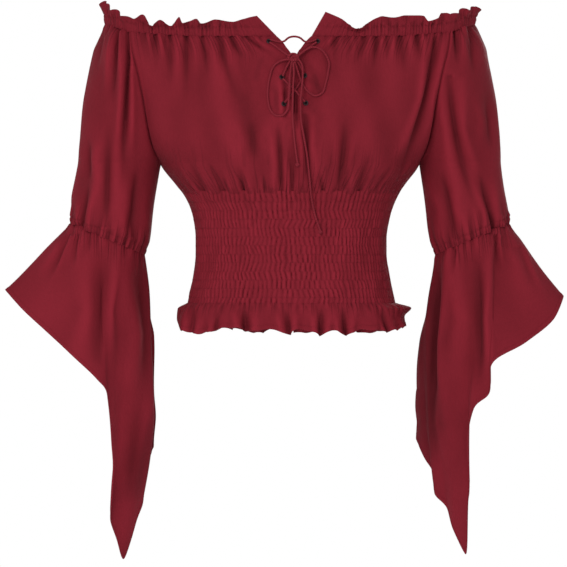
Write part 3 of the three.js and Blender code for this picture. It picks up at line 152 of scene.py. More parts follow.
# Painted shade and painted light on the sides of folds: a line, half the width, how dark, or light below 0
SHADED_COLUMNS = "x0 z0 x1 z1 half dark"
FRONT_SHADED = table(
    SHADED_COLUMNS,
    (3.5, -30, 6, -118, 2.2, 1.5), (-6, -38, -3, -80, 2.6, 1.2), (10.5, -36, 13, -104, 2.6, -1.3),
    (-11.5, -56, -11, -112, 2.6, -1.0), (29, -44, 39, -78, 3.5, 1.5), (22, -56, 24, -78, 4, -0.8),
    (-19, -60, -15, -100, 3, 1.0), (-34, -24, -44, -60, 4, 0.8), (40, -16, 52, -52, 4, 0.8),
    (13, -100, 20, -150, 2.4, 1.3), (-4, -104, -6, -160, 2.4, 1.1), (-58, -60, -50, -150, 8, 0.7),
)
FLOUNCE_SHADED = {
    -1: table(
        SHADED_COLUMNS,
        (238, -275, 238, -430, 9, 1.1), (178, -262, 166, -480, 11, 1.3), (160, -452, 206, -590, 14, 1.9),
        (204, -385, 216, -585, 13, -1.7),
    ),
    1: table(
        SHADED_COLUMNS,
        (235, -258, 234, -420, 10, 1.5), (173, -265, 172, -560, 19, 3.2),
    ),
}
FLOUNCE_FOLDS = {
    -1: table(
        FOLD_COLUMNS,
        (232, -250, 239, -430, -3, 14, 8, 0.5), (172, -258, 164, -480, 3, 14, 10, 0.5),
        (276, -246, 302, -306, 0, 6, 3, 0.3), (265, -246, 270, -290, 0, 5, 3, 0.2),
        (250, -240, 252, -276, 0, 5, 3, 0.2), (170, -430, 202, -575, 4, 12, 3.4, 0.5),
    ),
    1: table(
        FOLD_COLUMNS,
        (232, -254, 231, -450, 3, 15, 9, 0.5), (182, -252, 174, -480, 0, 16, 12, 0.55),
        (258, -246, 262, -292, 0, 5, 4, 0.2), (286, -262, 312, -328, 0, 8, 2, 0.3),
        (206, -262, 202, -300, 0, 5, 3, 0.2), (172, -440, 180, -540, 0, 12, 6, 0.4),
    ),
}
HEM_FLARE = 13
HEM_WAVES = 12
HEM_WAVE_DEPTH = 3
# The ruffle's height, and where its turned hem begins
HEM_DROP = 36
HEM_FOLDED = 30.5
HEM_SIDES = table("down right left", (0, 0, 0), (0.22, 12.5, 20), (0.58, 13.5, 11.5), (1, 8.5, 13))
HEM_EDGE = {
    -1: table(
        "x z",
        (-136, -365), (-112, -369.5), (-90, -364), (-71, -361.5), (-50, -365.5), (-20, -364), (-2, -369.5),
        (12, -363), (38, -370), (52, -365), (67, -370), (92, -364), (128, -365.5), (145, -360.5),
    ),
    1: table(
        "x z", (-136, -365), (-108, -368), (-76, -363), (-44, -369), (-14, -364), (22, -369), (58, -363.5),
        (96, -369), (145, -360.5),
    ),
}
HEM_FOLDS = {
    -1: table(
        FOLD_COLUMNS,
        (-119, -330, -124, -372, 0, 5, 4, 1), (-90, -332, -92, -372, 0, 5, 4, 1),
        (-58, -330, -53, -372, 0, 6, 9, 1), (-6, -330, -2, -372, 0, 5, 6, 1),
        (40, -330, 38, -372, 0, 5, 7, 1), (67, -330, 68, -372, 0, 5.5, 8, 1),
        (112, -330, 125, -372, 0, 5, 7, 1),
    ),
    1: table(
        FOLD_COLUMNS,
        (-110, -330, -115, -372, 0, 5, 6, 1), (-76, -330, -78, -372, 0, 5.5, 7, 1),
        (-34, -330, -32, -372, 0, 6, 8, 1), (6, -330, 8, -372, 0, 5, 6, 1),
        (48, -330, 50, -372, 0, 6, 8, 1), (84, -330, 88, -372, 0, 5.5, 6, 1),
        (116, -330, 124, -372, 0, 5, 6, 1),
    ),
}
FRILL_WAVE = 5.04
FRILL_SCALLOP = 2.5
FRILL_FLARE = 3
FRILL_TALL = 22
FRILL_FLOP = 0.55
# A frill's length for each metre of its cut, the pitch of the scallops at its foot and its cloth's height
FRILL_DRAWN = 900
FRILL_PITCH = 8.3
FRILL_CLOTH = 24
FRILL_COLUMNS = "along height lean wave"
FRILL = {
    -1: table(
        FRILL_COLUMNS,
        (0, 24.5, 24, 0), (14, 23, 16, 0), (30, 20, 9, 0.2), (45, 17, 4, 0.6), (60, 18.5, 1, 0.8),
        (69, 20, 0, 1), (84, 13.5, 0, 1), (91, 20.5, 0, 1), (106, 14.5, 0, 1), (111, 22, 0, 1),
        (121, 10, 0, 1), (134, 17, 0, 1), (146, 8.5, 0, 1), (157, 22, 0, 1), (171, 16, 0, 1),
        (178, 18, 0, 1),
    ),
    1: table(
        FRILL_COLUMNS,
        (0, 29.5, 17, 0), (12, 25.5, 14, 0), (26, 21, 9, 0.2), (40, 13.5, 4, 0.5), (52, 7.5, 1.5, 0.5),
        (64, 13.5, 0, 0.8), (75, 20.5, 0, 1), (84, 23.5, 0, 1), (100, 22, 0, 1), (114, 24, 0, 1),
        (138, 22, 0, 1), (145, 15, 0, 1), (158, 18.5, 0, 1), (162, 23.5, 0, 1), (171, 23.5, 0, 1),
        (178, 22, 0, 1),
    ),
}
FRILL_LENGTH = 178
SHOULDER_HEIGHT = {-1: 27, 1: 20}
BACK_FRILL_HEIGHT = 17

EYELETS = table(
    "side row x z",
    (-1, 1, -26, -7), (1, 1, 34, -7), (-1, 2, -10, -52), (1, 2, 18, -50), (-1, 3, -7.5, -85),
    (1, 3, 19.5, -84),
)
KNOT = {"x": 4, "z": -28, "above": 6.6, "half": (6.2, 3.0, 5.4)}
TAIL_KNOT = (1.7, 1.3, 1.7)
LACES = {
    "lace_low_right": [(-6, -83, 3), (6, -68, 1.8), (16.2, -52.8, 3)],
    "lace_low_left": [(18, -82, 3), (5.5, -67.5, 5), (-8.4, -54.2, 3)],
    "lace_mid_right": [(-8.6, -50, 3), (-5, -41, 2.6), (-1.4, -34.5, 4.2)],
    "lace_mid_left": [(16.6, -47.6, 3), (13.5, -40, 2.6), (9.6, -33.5, 4.2)],
    "lace_top_right": [(-24.4, -8.6, 3), (-13, -17, 1.9), (-1.4, -25.6, 4.4)],
    "lace_top_left": [(32.4, -8.6, 3), (21, -17, 1.9), (9.6, -24.6, 3.8)],
    "lace_arch": [
        (-24, -5, 3), (-15, -7.5, 1.8), (-8, -7.5, 1.8), (-1.5, -2.6, 2.4), (5, -1.2, 3), (12, -2.6, 2.4),
        (19, -7.8, 1.8), (26, -7.5, 1.8), (32, -5, 3),
    ],
    "bow_loop_right": [
        (-1.1, -29.6, 7.2), (-12, -32, 3.6), (-20, -38, 1.9), (-25, -52, 1.7), (-27.5, -68, 1.7),
        (-27, -82, 1.7), (-24.5, -92, 1.7), (-18, -99, 1.7), (-10, -99.5, 1.9), (-3.5, -93, 4.2),
        (-1.5, -78, 7.2), (-0.5, -60, 7.4), (0.5, -45, 7.2), (2.2, -33.4, 7.4),
    ],
    "bow_loop_left": [
        (9.3, -26.4, 8), (18, -19, 6.4), (27, -14.5, 5.6), (38, -17, 2.4), (45, -25, 1.7), (48.5, -34, 1.7),
        (47, -46, 1.7), (44, -60, 1.7), (40, -71, 1.7), (32, -75, 1.7), (22.5, -70, 2.6), (15.5, -61, 6),
        (11.5, -50, 6.6), (8.5, -41, 7), (6, -33.4, 7.4),
    ],
    "lace_tail_left": [
        (10.4, -29.5, 8.6), (14.5, -36, 8.8), (15.6, -50, 9.6), (14.5, -66, 9.4), (13.2, -78, 8),
        (13, -90, 3), (13.5, -104, 1.7), (17, -125, 1.7), (21, -148, 1.7), (24, -175, 1.7),
        (26.5, -200, 1.9), (31, -222, 1.9), (38, -243, 1.9),
    ],
    "lace_tail_right": [
        (4.2, -34.6, 11.6), (4.8, -46, 11), (4, -62, 9.6), (3.4, -80, 6.6), (3.2, -98, 2.6),
        (4.6, -120, 1.7), (7, -142, 1.7), (9.6, -160, 1.7),
    ],
}

FORWARD = np.array([0.0, -1.0, 0.0])
BACKWARD = np.array([0.0, 1.0, 0.0])
UP = np.array([0.0, 0.0, 1.0])


def mix(a, b, t):
    return a + (b - a) * t


def smooth(t):
    c = np.clip(t, 0, 1)
    return c * c * (3 - 2 * c)


def unit(v):
    return v / np.maximum(np.linalg.norm(v, axis=-1, keepdims=True), 1e-9)


def stack(x, y, z):
    return np.stack(np.broadcast_arrays(x, y, z), axis=-1).astype(float)


def bell(distance, width):
    """1 at no distance, and nearly 0 at twice the width."""
    return np.exp(-((distance / width) ** 2))


def runs_of(points):
    """The distance along a polyline at each of its points."""
    return np.concatenate([[0], np.cumsum(np.linalg.norm(np.diff(points, axis=0), axis=1))])


def eased(values, slopes, span, k, t):
    """A smooth curve from row k of the values to the next, at the part t of the span between them."""
    rising = 3 * t**2 - 2 * t**3
    return (
        values[k] * (1 - rising)
        + slopes[k] * span * (t**3 - 2 * t**2 + t)
        + values[k + 1] * rising
        + slopes[k + 1] * span * (t**3 - t**2)
    )


def reader(rows, key):
    """Reads a column of a table as a smooth function of its key column, with no overshoot between rows."""
    keys = rows[key]
    steps = np.diff(keys)

    def read(column, at):
        values = rows[column]
        rise = np.diff(values) / steps
        product = rise[:-1] * rise[1:]
        total = np.where(product > 0, rise[:-1] + rise[1:], 1)
        slope = np.concatenate([rise[:1], np.where(product > 0, 2 * product / total, 0), rise[-1:]])
        x = np.clip(np.asarray(at, float), keys[0], keys[-1])
        k = np.clip(np.searchsorted(keys, x) - 1, 0, len(keys) - 2)
        return eased(values, slope, steps[k], k, (x - keys[k]) / steps[k])

    return read


body = reader(BODY, "drop")
sleeve = reader(SLEEVE, "level")
raglan = reader(RAGLAN, "level")
slit = reader(SLIT, "drop")
hem_side = reader(HEM_SIDES, "down")


def crease(distance, width, sharp=1.0):
    """Section of a crease: a soft trough with a narrower one in it, between two low ridges."""
    d = np.abs(distance) / width
    return -0.6 * bell(d, 1) - 0.45 * sharp * bell(d, 0.45) + 0.34 * bell(d - 1.9, 0.9)


def troughs(folds, x, z, gain=1.5, sharp=1.0, steep=0):
    """Depth of the table's folds at points that are seen at (x, z): narrow where a fold starts, then wider.
    steep is 1 or -1 where the side towards greater or lesser x is the steeper."""
    depth = np.zeros(np.broadcast(x, z).shape)
    for x0, z0, x1, z1, bend, half, deep, full in zip(*folds.values()):
        t = (z - z0) / (z1 - z0)
        at = np.clip(t, 0, 1)
        middle = mix(x0, x1, at) + bend * 4 * at * (1 - at)
        off = np.abs(at - full) / max(full, 1 - full)
        seen = ~((t > 1) & (full < 1)) & ~((t < 0) & (full > 0))
        width = half * mix(0.75, 1.35, off) * np.where((x - middle) * steep > 0, 0.45, 1)
        depth += gain * seen * deep * smooth(1.25 * (1 - off)) * crease(x - middle, width, sharp)
    return depth


def shaded(bands, x, z):
    """How much painted shade the table's bands lay on points that are seen at (x, z); below 0 it is painted
    light.
    """
    dark = np.zeros(np.broadcast(x, z).shape)
    for x0, z0, x1, z1, half, most in zip(*bands.values()):
        t = (z - z0) / (z1 - z0)
        ends = smooth(4 * np.minimum(t, 1 - t))
        off = np.abs(x - mix(x0, x1, np.clip(t, 0, 1))) / half
        dark += most * ends * np.exp(-(off**3))
    return dark


def raglan_point(side, face, level):
    turn = np.radians(raglan("turn", level))
    return stack(
        side * (sleeve("out", level) - sleeve("wide", level) * np.cos(turn)),
        SIDE_Y + face * sleeve("deep", level) * np.sin(turn),
        raglan("z", level),
    )


def raglan_normal(side, face, level):
    step = 0.03
    run = raglan_point(side, face, level + step) - raglan_point(side, face, level - step)
    return unit(stack(0 * run[..., 0], -face * run[..., 2], face * run[..., 1]))


def panel_point(face, side, reach, level):
    """A point of the front or back: level is 0 at the neckline, 1 at the armpit and 2 at the shirring."""
    low_z = mix(ARMPIT_Z, SHIRRING_TOP_Z, level - 1)
    dip = BACK_DIP * (1 - reach**2.2) if face > 0 else 0
    even_z = ARMPIT_Z * level + (RAGLAN_TOP_Z * reach**6 - dip) * np.maximum(1 - level, 0) ** 2
    yoke = level < 1
    z = np.where(yoke, mix(even_z, raglan("z", level), reach**4), low_z)
    edge = raglan_point(side, face, level)
    edge_x = np.where(yoke, edge[..., 0], body("centre", -z) + side * body("half", -z))
    edge_y = np.where(yoke, edge[..., 1], SIDE_Y)
    rounded = mix(0.15, 1, smooth(level))
    opened = np.where((face < 0) & (-z < SLIT_BOTTOM_DROP), slit("half", -z), 0)
    middle = body("middle", -z)
    span = np.abs(edge_x - middle) - opened
    across = mix(reach, np.sin(reach * math.pi / 2), rounded)
    bow = mix(1 - reach**2.6, np.cos(reach * math.pi / 2).clip(0) ** 0.85, rounded)
    depth = face * body("front" if face < 0 else "back", -z)
    return stack(middle + side * (opened + span * across), mix(edge_y, depth, bow), z)


def waist_point(face, across, z):
    """A point of the shirred waist or of the ruffle's seam; across goes from -1 to 1."""
    angle = across * math.pi / 2
    depth = face * body("front" if face < 0 else "back", -z)
    return stack(
        body("centre", -z) + body("half", -z) * np.sin(angle),
        mix(SIDE_Y, depth, np.cos(angle).clip(0) ** 0.85),
        z,
    )


def sleeve_point(side, around, level):
    """A point of the sleeve; around goes from the front raglan seam, over the arm, to the back one."""
    start = raglan("turn", level)
    turn = np.radians(mix(start, 360 - start, around))
    rise = SHOULDER_RISE * (1 - (2 * around - 1) ** 2)
    below = np.maximum(0, level - 1)
    upper = raglan("z", level) + rise * np.maximum(1 - level, 0) ** 2
    lower = mix(ARMPIT_Z, ELBOW_Z, below) - ELBOW_TILT * below**1.5 * np.cos(turn)
    return stack(
        side * (sleeve("out", level) - sleeve("wide", level) * np.cos(turn)),
        SIDE_Y - sleeve("deep", level) * np.sin(turn),
        np.where(level < 1, upper, lower),
    )


def elbow_normal(side):
    return unit(np.array([side * ELBOW_TILT, 0, -float(sleeve("wide", 2))]))


def flounce_point(side, edge, turn, down):
    """A point of the flounce; down goes from 0 at the elbow casing to 1 at its edge."""
    angle = np.radians(turn)
    top = stack(
        side * (sleeve("out", 2) - sleeve("wide", 2) * np.cos(angle)),
        SIDE_Y - sleeve("deep", 2) * np.sin(angle),
        ELBOW_Z - ELBOW_TILT * np.cos(angle),
    )
    belly = 4 * down * (1 - down)
    return stack(
        mix(top[..., 0], side * edge("out", turn), down) - side * edge("in", turn) * belly,
        mix(top[..., 1], edge("y", turn), down) - edge("fore", turn) * belly,
        mix(top[..., 2], edge("z", turn), down),
    )


def gathers(across, away, count, reach, deep, half, seed, sway=0.05):
    """Uneven creases that run off a casing. across is the place along it, away the distance from it."""
    dice = np.random.default_rng(seed)
    low, high = across.min(), across.max()
    lift = np.zeros(across.shape)
    for k in range(count):
        start = mix(low, high, (k + dice.uniform(0.1, 0.9)) / count)
        length = reach * mix(0.22, 1, dice.uniform() ** 1.6)
        size = deep * dice.uniform(0.45, 1)
        width = half * dice.uniform(0.7, 1.5)
        lean = dice.uniform(-sway, sway)
        fade = smooth(1 - away / length)
        spread = width * (1 + 1.1 * np.clip(away / length, 0, 1))
        lift += size * fade * crease(across - start - lean * away, spread)
    return lift


def drape(x, y, count, longest, shortest, high, seed, tilt=1.0):
    """Soft unevenness of cloth: a few long waves over each other. tilt below 1 stretches them along y."""
    dice = np.random.default_rng(seed)
    lift = np.zeros(np.broadcast(x, y).shape)
    for _ in range(count):
        length = dice.uniform(shortest, longest)
        angle = dice.uniform(-1.0, 1.0) * tilt
        phase = dice.uniform(0, 2 * math.pi)
        bend = 0.8 * np.sin(2 * math.pi * y / (2.3 * longest) + phase)
        along = x * math.cos(angle) + y * math.sin(angle)
        lift += high * np.sin(2 * math.pi * along / length + phase + bend)
    return lift / math.sqrt(count)


# Reach of small and of broad hollows for the painted shade, the share of the broad ones and the range that
# shows
NEAR = 5.0
FAR = 22.0
FAR_SHARE = 0.28
HOLLOW_RANGE = (-2.2, 1.6)
# How far the cloth under another piece lies below it, where nothing else is said
TUCK_SUNK = 1.8
SHARP_ANGLE = math.radians(60)


def hollows(lift, spacing, reach):
    """How far each point lies above the average of its surroundings in its row."""
    half = max(2, int(round(reach / spacing)))
    weights = bell(np.arange(-2 * half, 2 * half + 1), half)
    weights /= weights.sum()
    padded = np.pad(lift, ((0, 0), (2 * half, 2 * half)), mode="edge")
    average = np.zeros_like(lift)
    for k, weight in enumerate(weights):
        average += weight * padded[:, k : k + lift.shape[1]]
    return lift - average


def nothing_forced(shape):
    return np.full((*shape, 3), np.nan)


def shell(
    name, points, lift, size, flip=False, thickness=CLOTH, joined=None, cut=None, forced=None, tuck=None,
    gathered=0.0, sunk=None, shade=1.0, shadow=0.0,
):
    """Makes cloth from a grid of points, lifted off their smooth surface. size is its flat size for the
    weave, joined a grid of point numbers where some are shared, cut a grid column with no cloth after it,
    and forced the directions at seams. tuck is how far the first row runs on, sunk under the cloth that it
    is sewn to. gathered is 1 where the material shows fine creases with painted shade along them, shade
    how strong the painted shade in its hollows and the painted light on its ridges are, and shadow
    painted shade besides, which is painted light where it is below 0."""
    gathered = np.broadcast_to(gathered, lift.shape)
    shadow = np.broadcast_to(shadow, lift.shape)
    if joined is None:
        joined = np.arange(lift.size).reshape(lift.shape)
    if forced is None:
        forced = nothing_forced(lift.shape)
    if tuck:
        points = np.concatenate([points[:1] + unit(points[:1] - points[1:2]) * tuck, points])
        lift = np.concatenate([lift[:1] * 0.3 - TUCK_SUNK if sunk is None else lift[:1] - sunk, lift])
        gathered, shadow, forced = (np.concatenate([rows[:1], rows]) for rows in (gathered, shadow, forced))
        joined = np.concatenate([joined[:1] + 10 * lift.size, joined])
    rows, columns = lift.shape
    spacing = float(np.linalg.norm(np.diff(points[rows // 2], axis=0), axis=1).mean())
    # Painted shade and painted light: darker in hollows and lighter on ridges than their surroundings, then
    # darker by the shadow, or lighter where it is below 0
    painted_shade = (hollows(lift, spacing, NEAR) + FAR_SHARE * hollows(lift, spacing, FAR)) * shade
    painted_shade = np.clip(painted_shade, *HOLLOW_RANGE) - shadow
    _, first, ids = np.unique(joined.ravel(), return_index=True, return_inverse=True)
    ids = ids.reshape(rows, columns)
    base = points.reshape(-1, 3)[first]
    kept = np.ones((rows - 1, columns - 1), bool)
    if cut is not None:
        kept[:, cut] = False
    corners = [(0, 0), (1, 0), (1, 1), (0, 1)]
    if flip:
        corners.reverse()

    def by_cell(grid):
        parts = [grid[r : r + rows - 1, c : c + columns - 1] for r, c in corners]
        return np.stack(parts, axis=2)[kept]

    quads = by_cell(ids)
    p = base[quads]
    face_normals = unit(np.cross(p[:, 2] - p[:, 0], p[:, 3] - p[:, 1]))
    normals = np.zeros_like(base)
    for k in range(4):
        np.add.at(normals, quads[:, k], face_normals)
    normals = unit(normals)
    wanted = forced.reshape(-1, 3)[first]
    known = ~np.isnan(wanted[:, 0])
    normals[known] = wanted[known]
    outer = base + normals * lift.ravel()[first][:, None]
    inner = outer - normals * thickness
    count = len(base)
    edges = np.concatenate([quads[:, [k, (k + 1) % 4]] for k in range(4)])
    keys = edges[:, 0].astype(np.int64) * count + edges[:, 1]
    backs = edges[:, 1].astype(np.int64) * count + edges[:, 0]
    rim = edges[~np.isin(keys, backs)]
    walls = np.stack([rim[:, 1], rim[:, 0], rim[:, 0] + count, rim[:, 1] + count], axis=1)
    faces = np.concatenate([quads, quads[:, ::-1] + count, walls])
    u, v = np.meshgrid(np.linspace(0, size[0], columns), np.linspace(size[1], 0, rows))
    uv = by_cell(np.stack([u, v], axis=-1) * MM)
    uv = np.concatenate([uv, uv[:, ::-1], np.zeros((len(walls), 4, 2))])
    made = mesh_object(name, np.concatenate([outer, inner]), faces, uv)
    for title, values in (("lift", lift), ("painted_shade", painted_shade), ("gathered", gathered)):
        values = np.tile(values.ravel()[first], 2).astype(np.float32)
        made.data.attributes.new(title, "FLOAT", "POINT").data.foreach_set("value", values)
    made.data.set_sharp_from_angle(angle=SHARP_ANGLE)
    return made, outer, normals, ids


def mesh_object(name, points, faces, uv=None, material=None):
    """A smooth mesh of four-sided faces from points in millimetres."""
    mesh = bpy.data.meshes.new(name)
    mesh.vertices.add(len(points))
    mesh.vertices.foreach_set("co", (points * MM).astype(np.float32).ravel())
    mesh.loops.add(faces.size)
    mesh.loops.foreach_set("vertex_index", faces.astype(np.int32).ravel())
    mesh.polygons.add(len(faces))
    mesh.polygons.foreach_set("loop_start", np.arange(0, faces.size, faces.shape[1], dtype=np.int32))
    mesh.polygons.foreach_set("use_smooth", np.ones(len(faces), bool))
    mesh.update(calc_edges=True)
    mesh.validate()
    if uv is not None:
        mesh.uv_layers.new(name="cloth").data.foreach_set("uv", uv.astype(np.float32).ravel())
    made = bpy.data.objects.new(name, mesh)
    bpy.context.scene.collection.objects.link(made)
    if material:
        mesh.materials.append(material)
    return made


# Corners of a face on a round cord: steps round it and along it
ROUND = ((0, 0), (1, 0), (1, 1), (0, 1))


def ring_faces(rings, sides):
    """Faces that join rings of as many points each."""
    ring, spoke = np.meshgrid(np.arange(rings - 1), np.arange(sides), indexing="ij")
    corners = [(ring + on) * sides + (spoke + over) % sides for over, on in ROUND]
    return np.stack(corners, axis=-1).reshape(-1, 4)


def tube(name, path, radius, sides, material):
    """A round cord along a path, with rounded ends."""
    along = unit(np.gradient(path, axis=0))
    caps = np.array([0.0, 0.55, 0.9])
    bulge = 0.8 * radius
    start = [path[0] - along[0] * bulge * (1 - c) for c in caps]
    stop = [path[-1] + along[-1] * bulge * (1 - c) for c in caps[::-1]]
    small = [radius * max(0.05, math.sqrt(1 - (1 - c) ** 2)) for c in caps]
    radii = np.concatenate([small, np.full(len(path), radius), small[::-1]])
    path = np.concatenate([start, path, stop])
    along = np.concatenate([[along[0]] * 3, along, [along[-1]] * 3])
    side = unit(np.cross(along[0], UP + 0.01))
    angle = np.linspace(0, 2 * math.pi, sides, endpoint=False)[:, None]
    rings = []
    for p, a, r in zip(path, along, radii):
        side = unit(side - a * np.dot(side, a))
        rings.append(p + r * (side * np.cos(angle) + np.cross(a, side) * np.sin(angle)))
    ring, spoke = np.meshgrid(np.arange(len(path) - 1), np.arange(sides), indexing="ij")
    lengths = runs_of(path)
    uv = [np.stack([(spoke + over) / sides, lengths[ring + on] * MM], -1) for over, on in ROUND]
    uv = np.stack(uv, axis=2).reshape(-1, 4, 2)
    return mesh_object(name, np.concatenate(rings), ring_faces(len(path), sides), uv, material)


def evened(points, step):
    """Points along a polyline, as far apart as step."""
    runs = runs_of(points)
    count = max(2, int(round(runs[-1] / step)) + 1)
    at = np.linspace(0, runs[-1], count)
    return np.stack([np.interp(at, runs, points[:, k]) for k in range(points.shape[1])], axis=1)


def curved(points, count):
    """A smooth curve through points, at count places as far apart."""
    points = np.asarray(points, float)
    runs = runs_of(points)
    at = np.linspace(0, runs[-1], count)
    k = np.clip(np.searchsorted(runs, at) - 1, 0, len(runs) - 2)
    span = (runs[k + 1] - runs[k])[:, None]
    t = (at - runs[k])[:, None] / span
    return eased(points, np.gradient(points, runs, axis=0), span, k, t)


STITCH = {"long": 2.1, "pitch": 3.2, "radius": 0.2}
STITCH_STEPS = 6
STITCH_LIFT = 0.05


def stitches(name, lines, material):
    """Rows of short stitches, joined in one mesh. A line is its points and the cloth's directions there."""
    fine = STITCH["pitch"] / STITCH_STEPS
    step = int(round(STITCH["long"] / fine))
    starts, stops, ups = [], [], []
    for points, normals in lines:
        both = evened(np.concatenate([points, normals], axis=1), fine)
        places, directions = both[:, :3], unit(both[:, 3:])
        for k in range(0, len(places) - step, STITCH_STEPS):
            starts.append(places[k])
            stops.append(places[k + step])
            ups.append(directions[k + step // 2])
    starts, stops, ups = map(np.array, (starts, stops, ups))
    across = unit(np.cross(unit(stops - starts), ups))
    r = STITCH["radius"]
    rings = []
    for t, size, high in ((0.0, 0.4, 0.0), (0.5, 1.0, 1.0), (1.0, 0.4, 0.0)):
        middle = mix(starts, stops, t) + ups * r * high
        for a in (45, 135, 225, 315):
            c, s = math.cos(math.radians(a)) * r * size, math.sin(math.radians(a)) * r * size
            rings.append(middle + across * c + ups * s)
    points = np.stack(rings, axis=1)
    faces = (np.arange(len(points)) * len(rings))[:, None, None] + ring_faces(3, 4)
    return mesh_object(name, points.reshape(-1, 3), faces.reshape(-1, 4), material=material)


# Materials
def new_material(name):
    material = bpy.data.materials.new(name)
    material.use_nodes = True
    tree = material.node_tree
    return material, tree, next(n for n in tree.nodes if n.type == "BSDF_PRINCIPLED")


def fill(tree, node, inputs):
    """Sets inputs of a node. A value may be another node's output."""
    for name, value in inputs.items():
        if isinstance(value, bpy.types.NodeSocket):
            tree.links.new(value, node.inputs[name])
        else:
            node.inputs[name].default_value = value


def add_node(tree, kind, output, inputs, **settings):
    """Adds a node and returns its output."""
    node = tree.nodes.new("ShaderNode" + kind)
    for name, value in settings.items():
        setattr(node, name, value)
    fill(tree, node, inputs)
    return node.outputs[output]


def uv_of(tree, scale=None):
    """The cloth's own flat coordinates in metres, multiplied by the scale."""
    uv = add_node(tree, "UVMap", "UV", {}, uv_map="cloth")
    return add_node(tree, "Mapping", "Vector", {"Vector": uv, "Scale": scale}) if scale else uv


def attribute(tree, name):
    return add_node(tree, "Attribute", "Fac", {}, attribute_name=name)


def noise(tree, place, scale, detail):
    return add_node(tree, "TexNoise", "Fac", {"Vector": place, "Scale": scale, "Detail": detail})


def calculate(tree, operation, *values):
    return add_node(tree, "Math", 0, dict(enumerate(values)), operation=operation)


def remap(tree, value, old, new, kind="LINEAR"):
    """Moves a value from the range old to the range new."""
    inputs = dict(zip(("Value", "From Min", "From Max", "To Min", "To Max"), (value, *old, *new)))
    return add_node(tree, "MapRange", "Result", inputs, interpolation_type=kind)


def blend(tree, factor, a, b, kind="MIX"):
    inputs = {"Factor": factor, "A": a, "B": b}
    return add_node(tree, "Mix", "Result", inputs, data_type="RGBA", blend_type=kind)


def bump(tree, height, strength, distance, inputs, invert=False):
    inputs = {"Height": height, "Strength": strength, "Distance": distance, **inputs}
    return add_node(tree, "Bump", "Normal", inputs, invert=invert)


def ramp(tree, factor, low, high, places=(0, 1)):
    """Colours between two, at their places in the factor's range."""
    node = tree.nodes.new("ShaderNodeValToRGB")
    for element, place, colour in zip(node.color_ramp.elements, places, (low, high)):
        element.position = place
        element.color = colour
    tree.links.new(factor, node.inputs["Fac"])
    return node.outputs["Color"]


def linear(r, g, b):
    """Colour from the usual 0 to 255 values."""
    values = [c / 255 for c in (r, g, b)]
    return tuple(c / 12.92 if c <= 0.04045 else ((c + 0.055) / 1.055) ** 2.4 for c in values) + (1,)


# Distance between the cloth's threads
THREAD = 0.55
WEAVE_SCALE = 1000 / THREAD / 6.283 * 2


def cloth_material(name, base, light, dark):
    """Soft plain-woven cloth: crossing threads, slubs, uneven dye, painted light on its ridges, painted shade
    in its hollows and along fine creases, and sheen.
    """
    material, tree, shader = new_material(name)
    uv = uv_of(tree)
    place = add_node(tree, "TexCoord", "Object", {})
    inputs = {"Vector": uv, "Scale": WEAVE_SCALE, "Distortion": 0.6, "Detail": 0}
    threads = [add_node(tree, "TexWave", "Fac", inputs, bands_direction=axis) for axis in ("X", "Y")]
    slub = noise(tree, uv_of(tree, (1, 0.35, 1)), 420, 3)
    runs = noise(tree, uv_of(tree, (1, 0.05, 1)), 85, 1)
    from_middle = calculate(tree, "ABSOLUTE", calculate(tree, "SUBTRACT", runs, 0.5))
    thin = remap(tree, from_middle, (0, 0.055), (1, 0), "SMOOTHSTEP")
    creased = calculate(tree, "MULTIPLY", thin, attribute(tree, "gathered"))
    normal = bump(tree, noise(tree, place, 190, 4), 0.35, 0.0012, {})
    normal = bump(tree, slub, 0.28, 0.0003, {"Normal": normal})
    normal = bump(tree, calculate(tree, "ADD", *threads), 0.22, 0.00012, {"Normal": normal})
    normal = bump(tree, creased, 0.8, 0.0012, {"Normal": normal}, invert=True)
    dyed = ramp(tree, noise(tree, place, 14, 5), dark, base, (0.3, 0.7))
    # Painted light: the higher the cloth is lifted, the more it turns to the lighter colour
    ridges_lit = blend(tree, remap(tree, attribute(tree, "lift"), (-2.5, 2.0), (0, 0.5)), dyed, light)
    speckled = blend(tree, 0.16, ridges_lit, slub, "MULTIPLY")
    # Painted shade in the hollows and painted light on the ridges
    shade = remap(tree, attribute(tree, "painted_shade"), (-4.0, 3.0), (0.53, 1.27), "SMOOTHSTEP")
    # Painted shade along the fine creases
    crease_lines_shaded = remap(tree, creased, (0, 1), (1, 0.74))
    fill(tree, shader, {
        "Base Color": blend(tree, 1.0, speckled, calculate(tree, "MULTIPLY", shade, crease_lines_shaded), "MULTIPLY"),
        "Normal": normal,
        "Roughness": 0.86,
        "Specular IOR Level": 0.12,
        "Sheen Weight": 0.1,
        "Sheen Roughness": 0.45,
        "Sheen Tint": linear(190, 70, 84),
    })
    return material


def cord_material(name, base, dark):
    """Round braided lace, the braid turning along it."""
    material, tree, shader = new_material(name)
    inputs = {"Vector": uv_of(tree, (2, 260, 1)), "Scale": 1.0, "Distortion": 0.8}
    braid = add_node(tree, "TexWave", "Fac", inputs, bands_direction="DIAGONAL")
    fill(tree, shader, {
        "Base Color": ramp(tree, braid, dark, base),
        "Normal": bump(tree, braid, 0.6, 0.0005, {}),
        "Roughness": 0.8,
        "Specular IOR Level": 0.15,
    })
    return material


def metal_material(name):
    """Dark plated metal, a little worn and scratched."""
    material, tree, shader = new_material(name)
    ridges_lit = noise(tree, add_node(tree, "TexCoord", "Object", {}), 900, 2)
    fill(tree, shader, {
        "Base Color": ramp(tree, ridges_lit, (0.008, 0.003, 0.004, 1), (0.034, 0.012, 0.015, 1)),
        "Roughness": remap(tree, ridges_lit, (0, 1), (0.3, 0.55)),
        "Metallic": 0.4,
    })
    return material


WINE = linear(116, 25, 37)
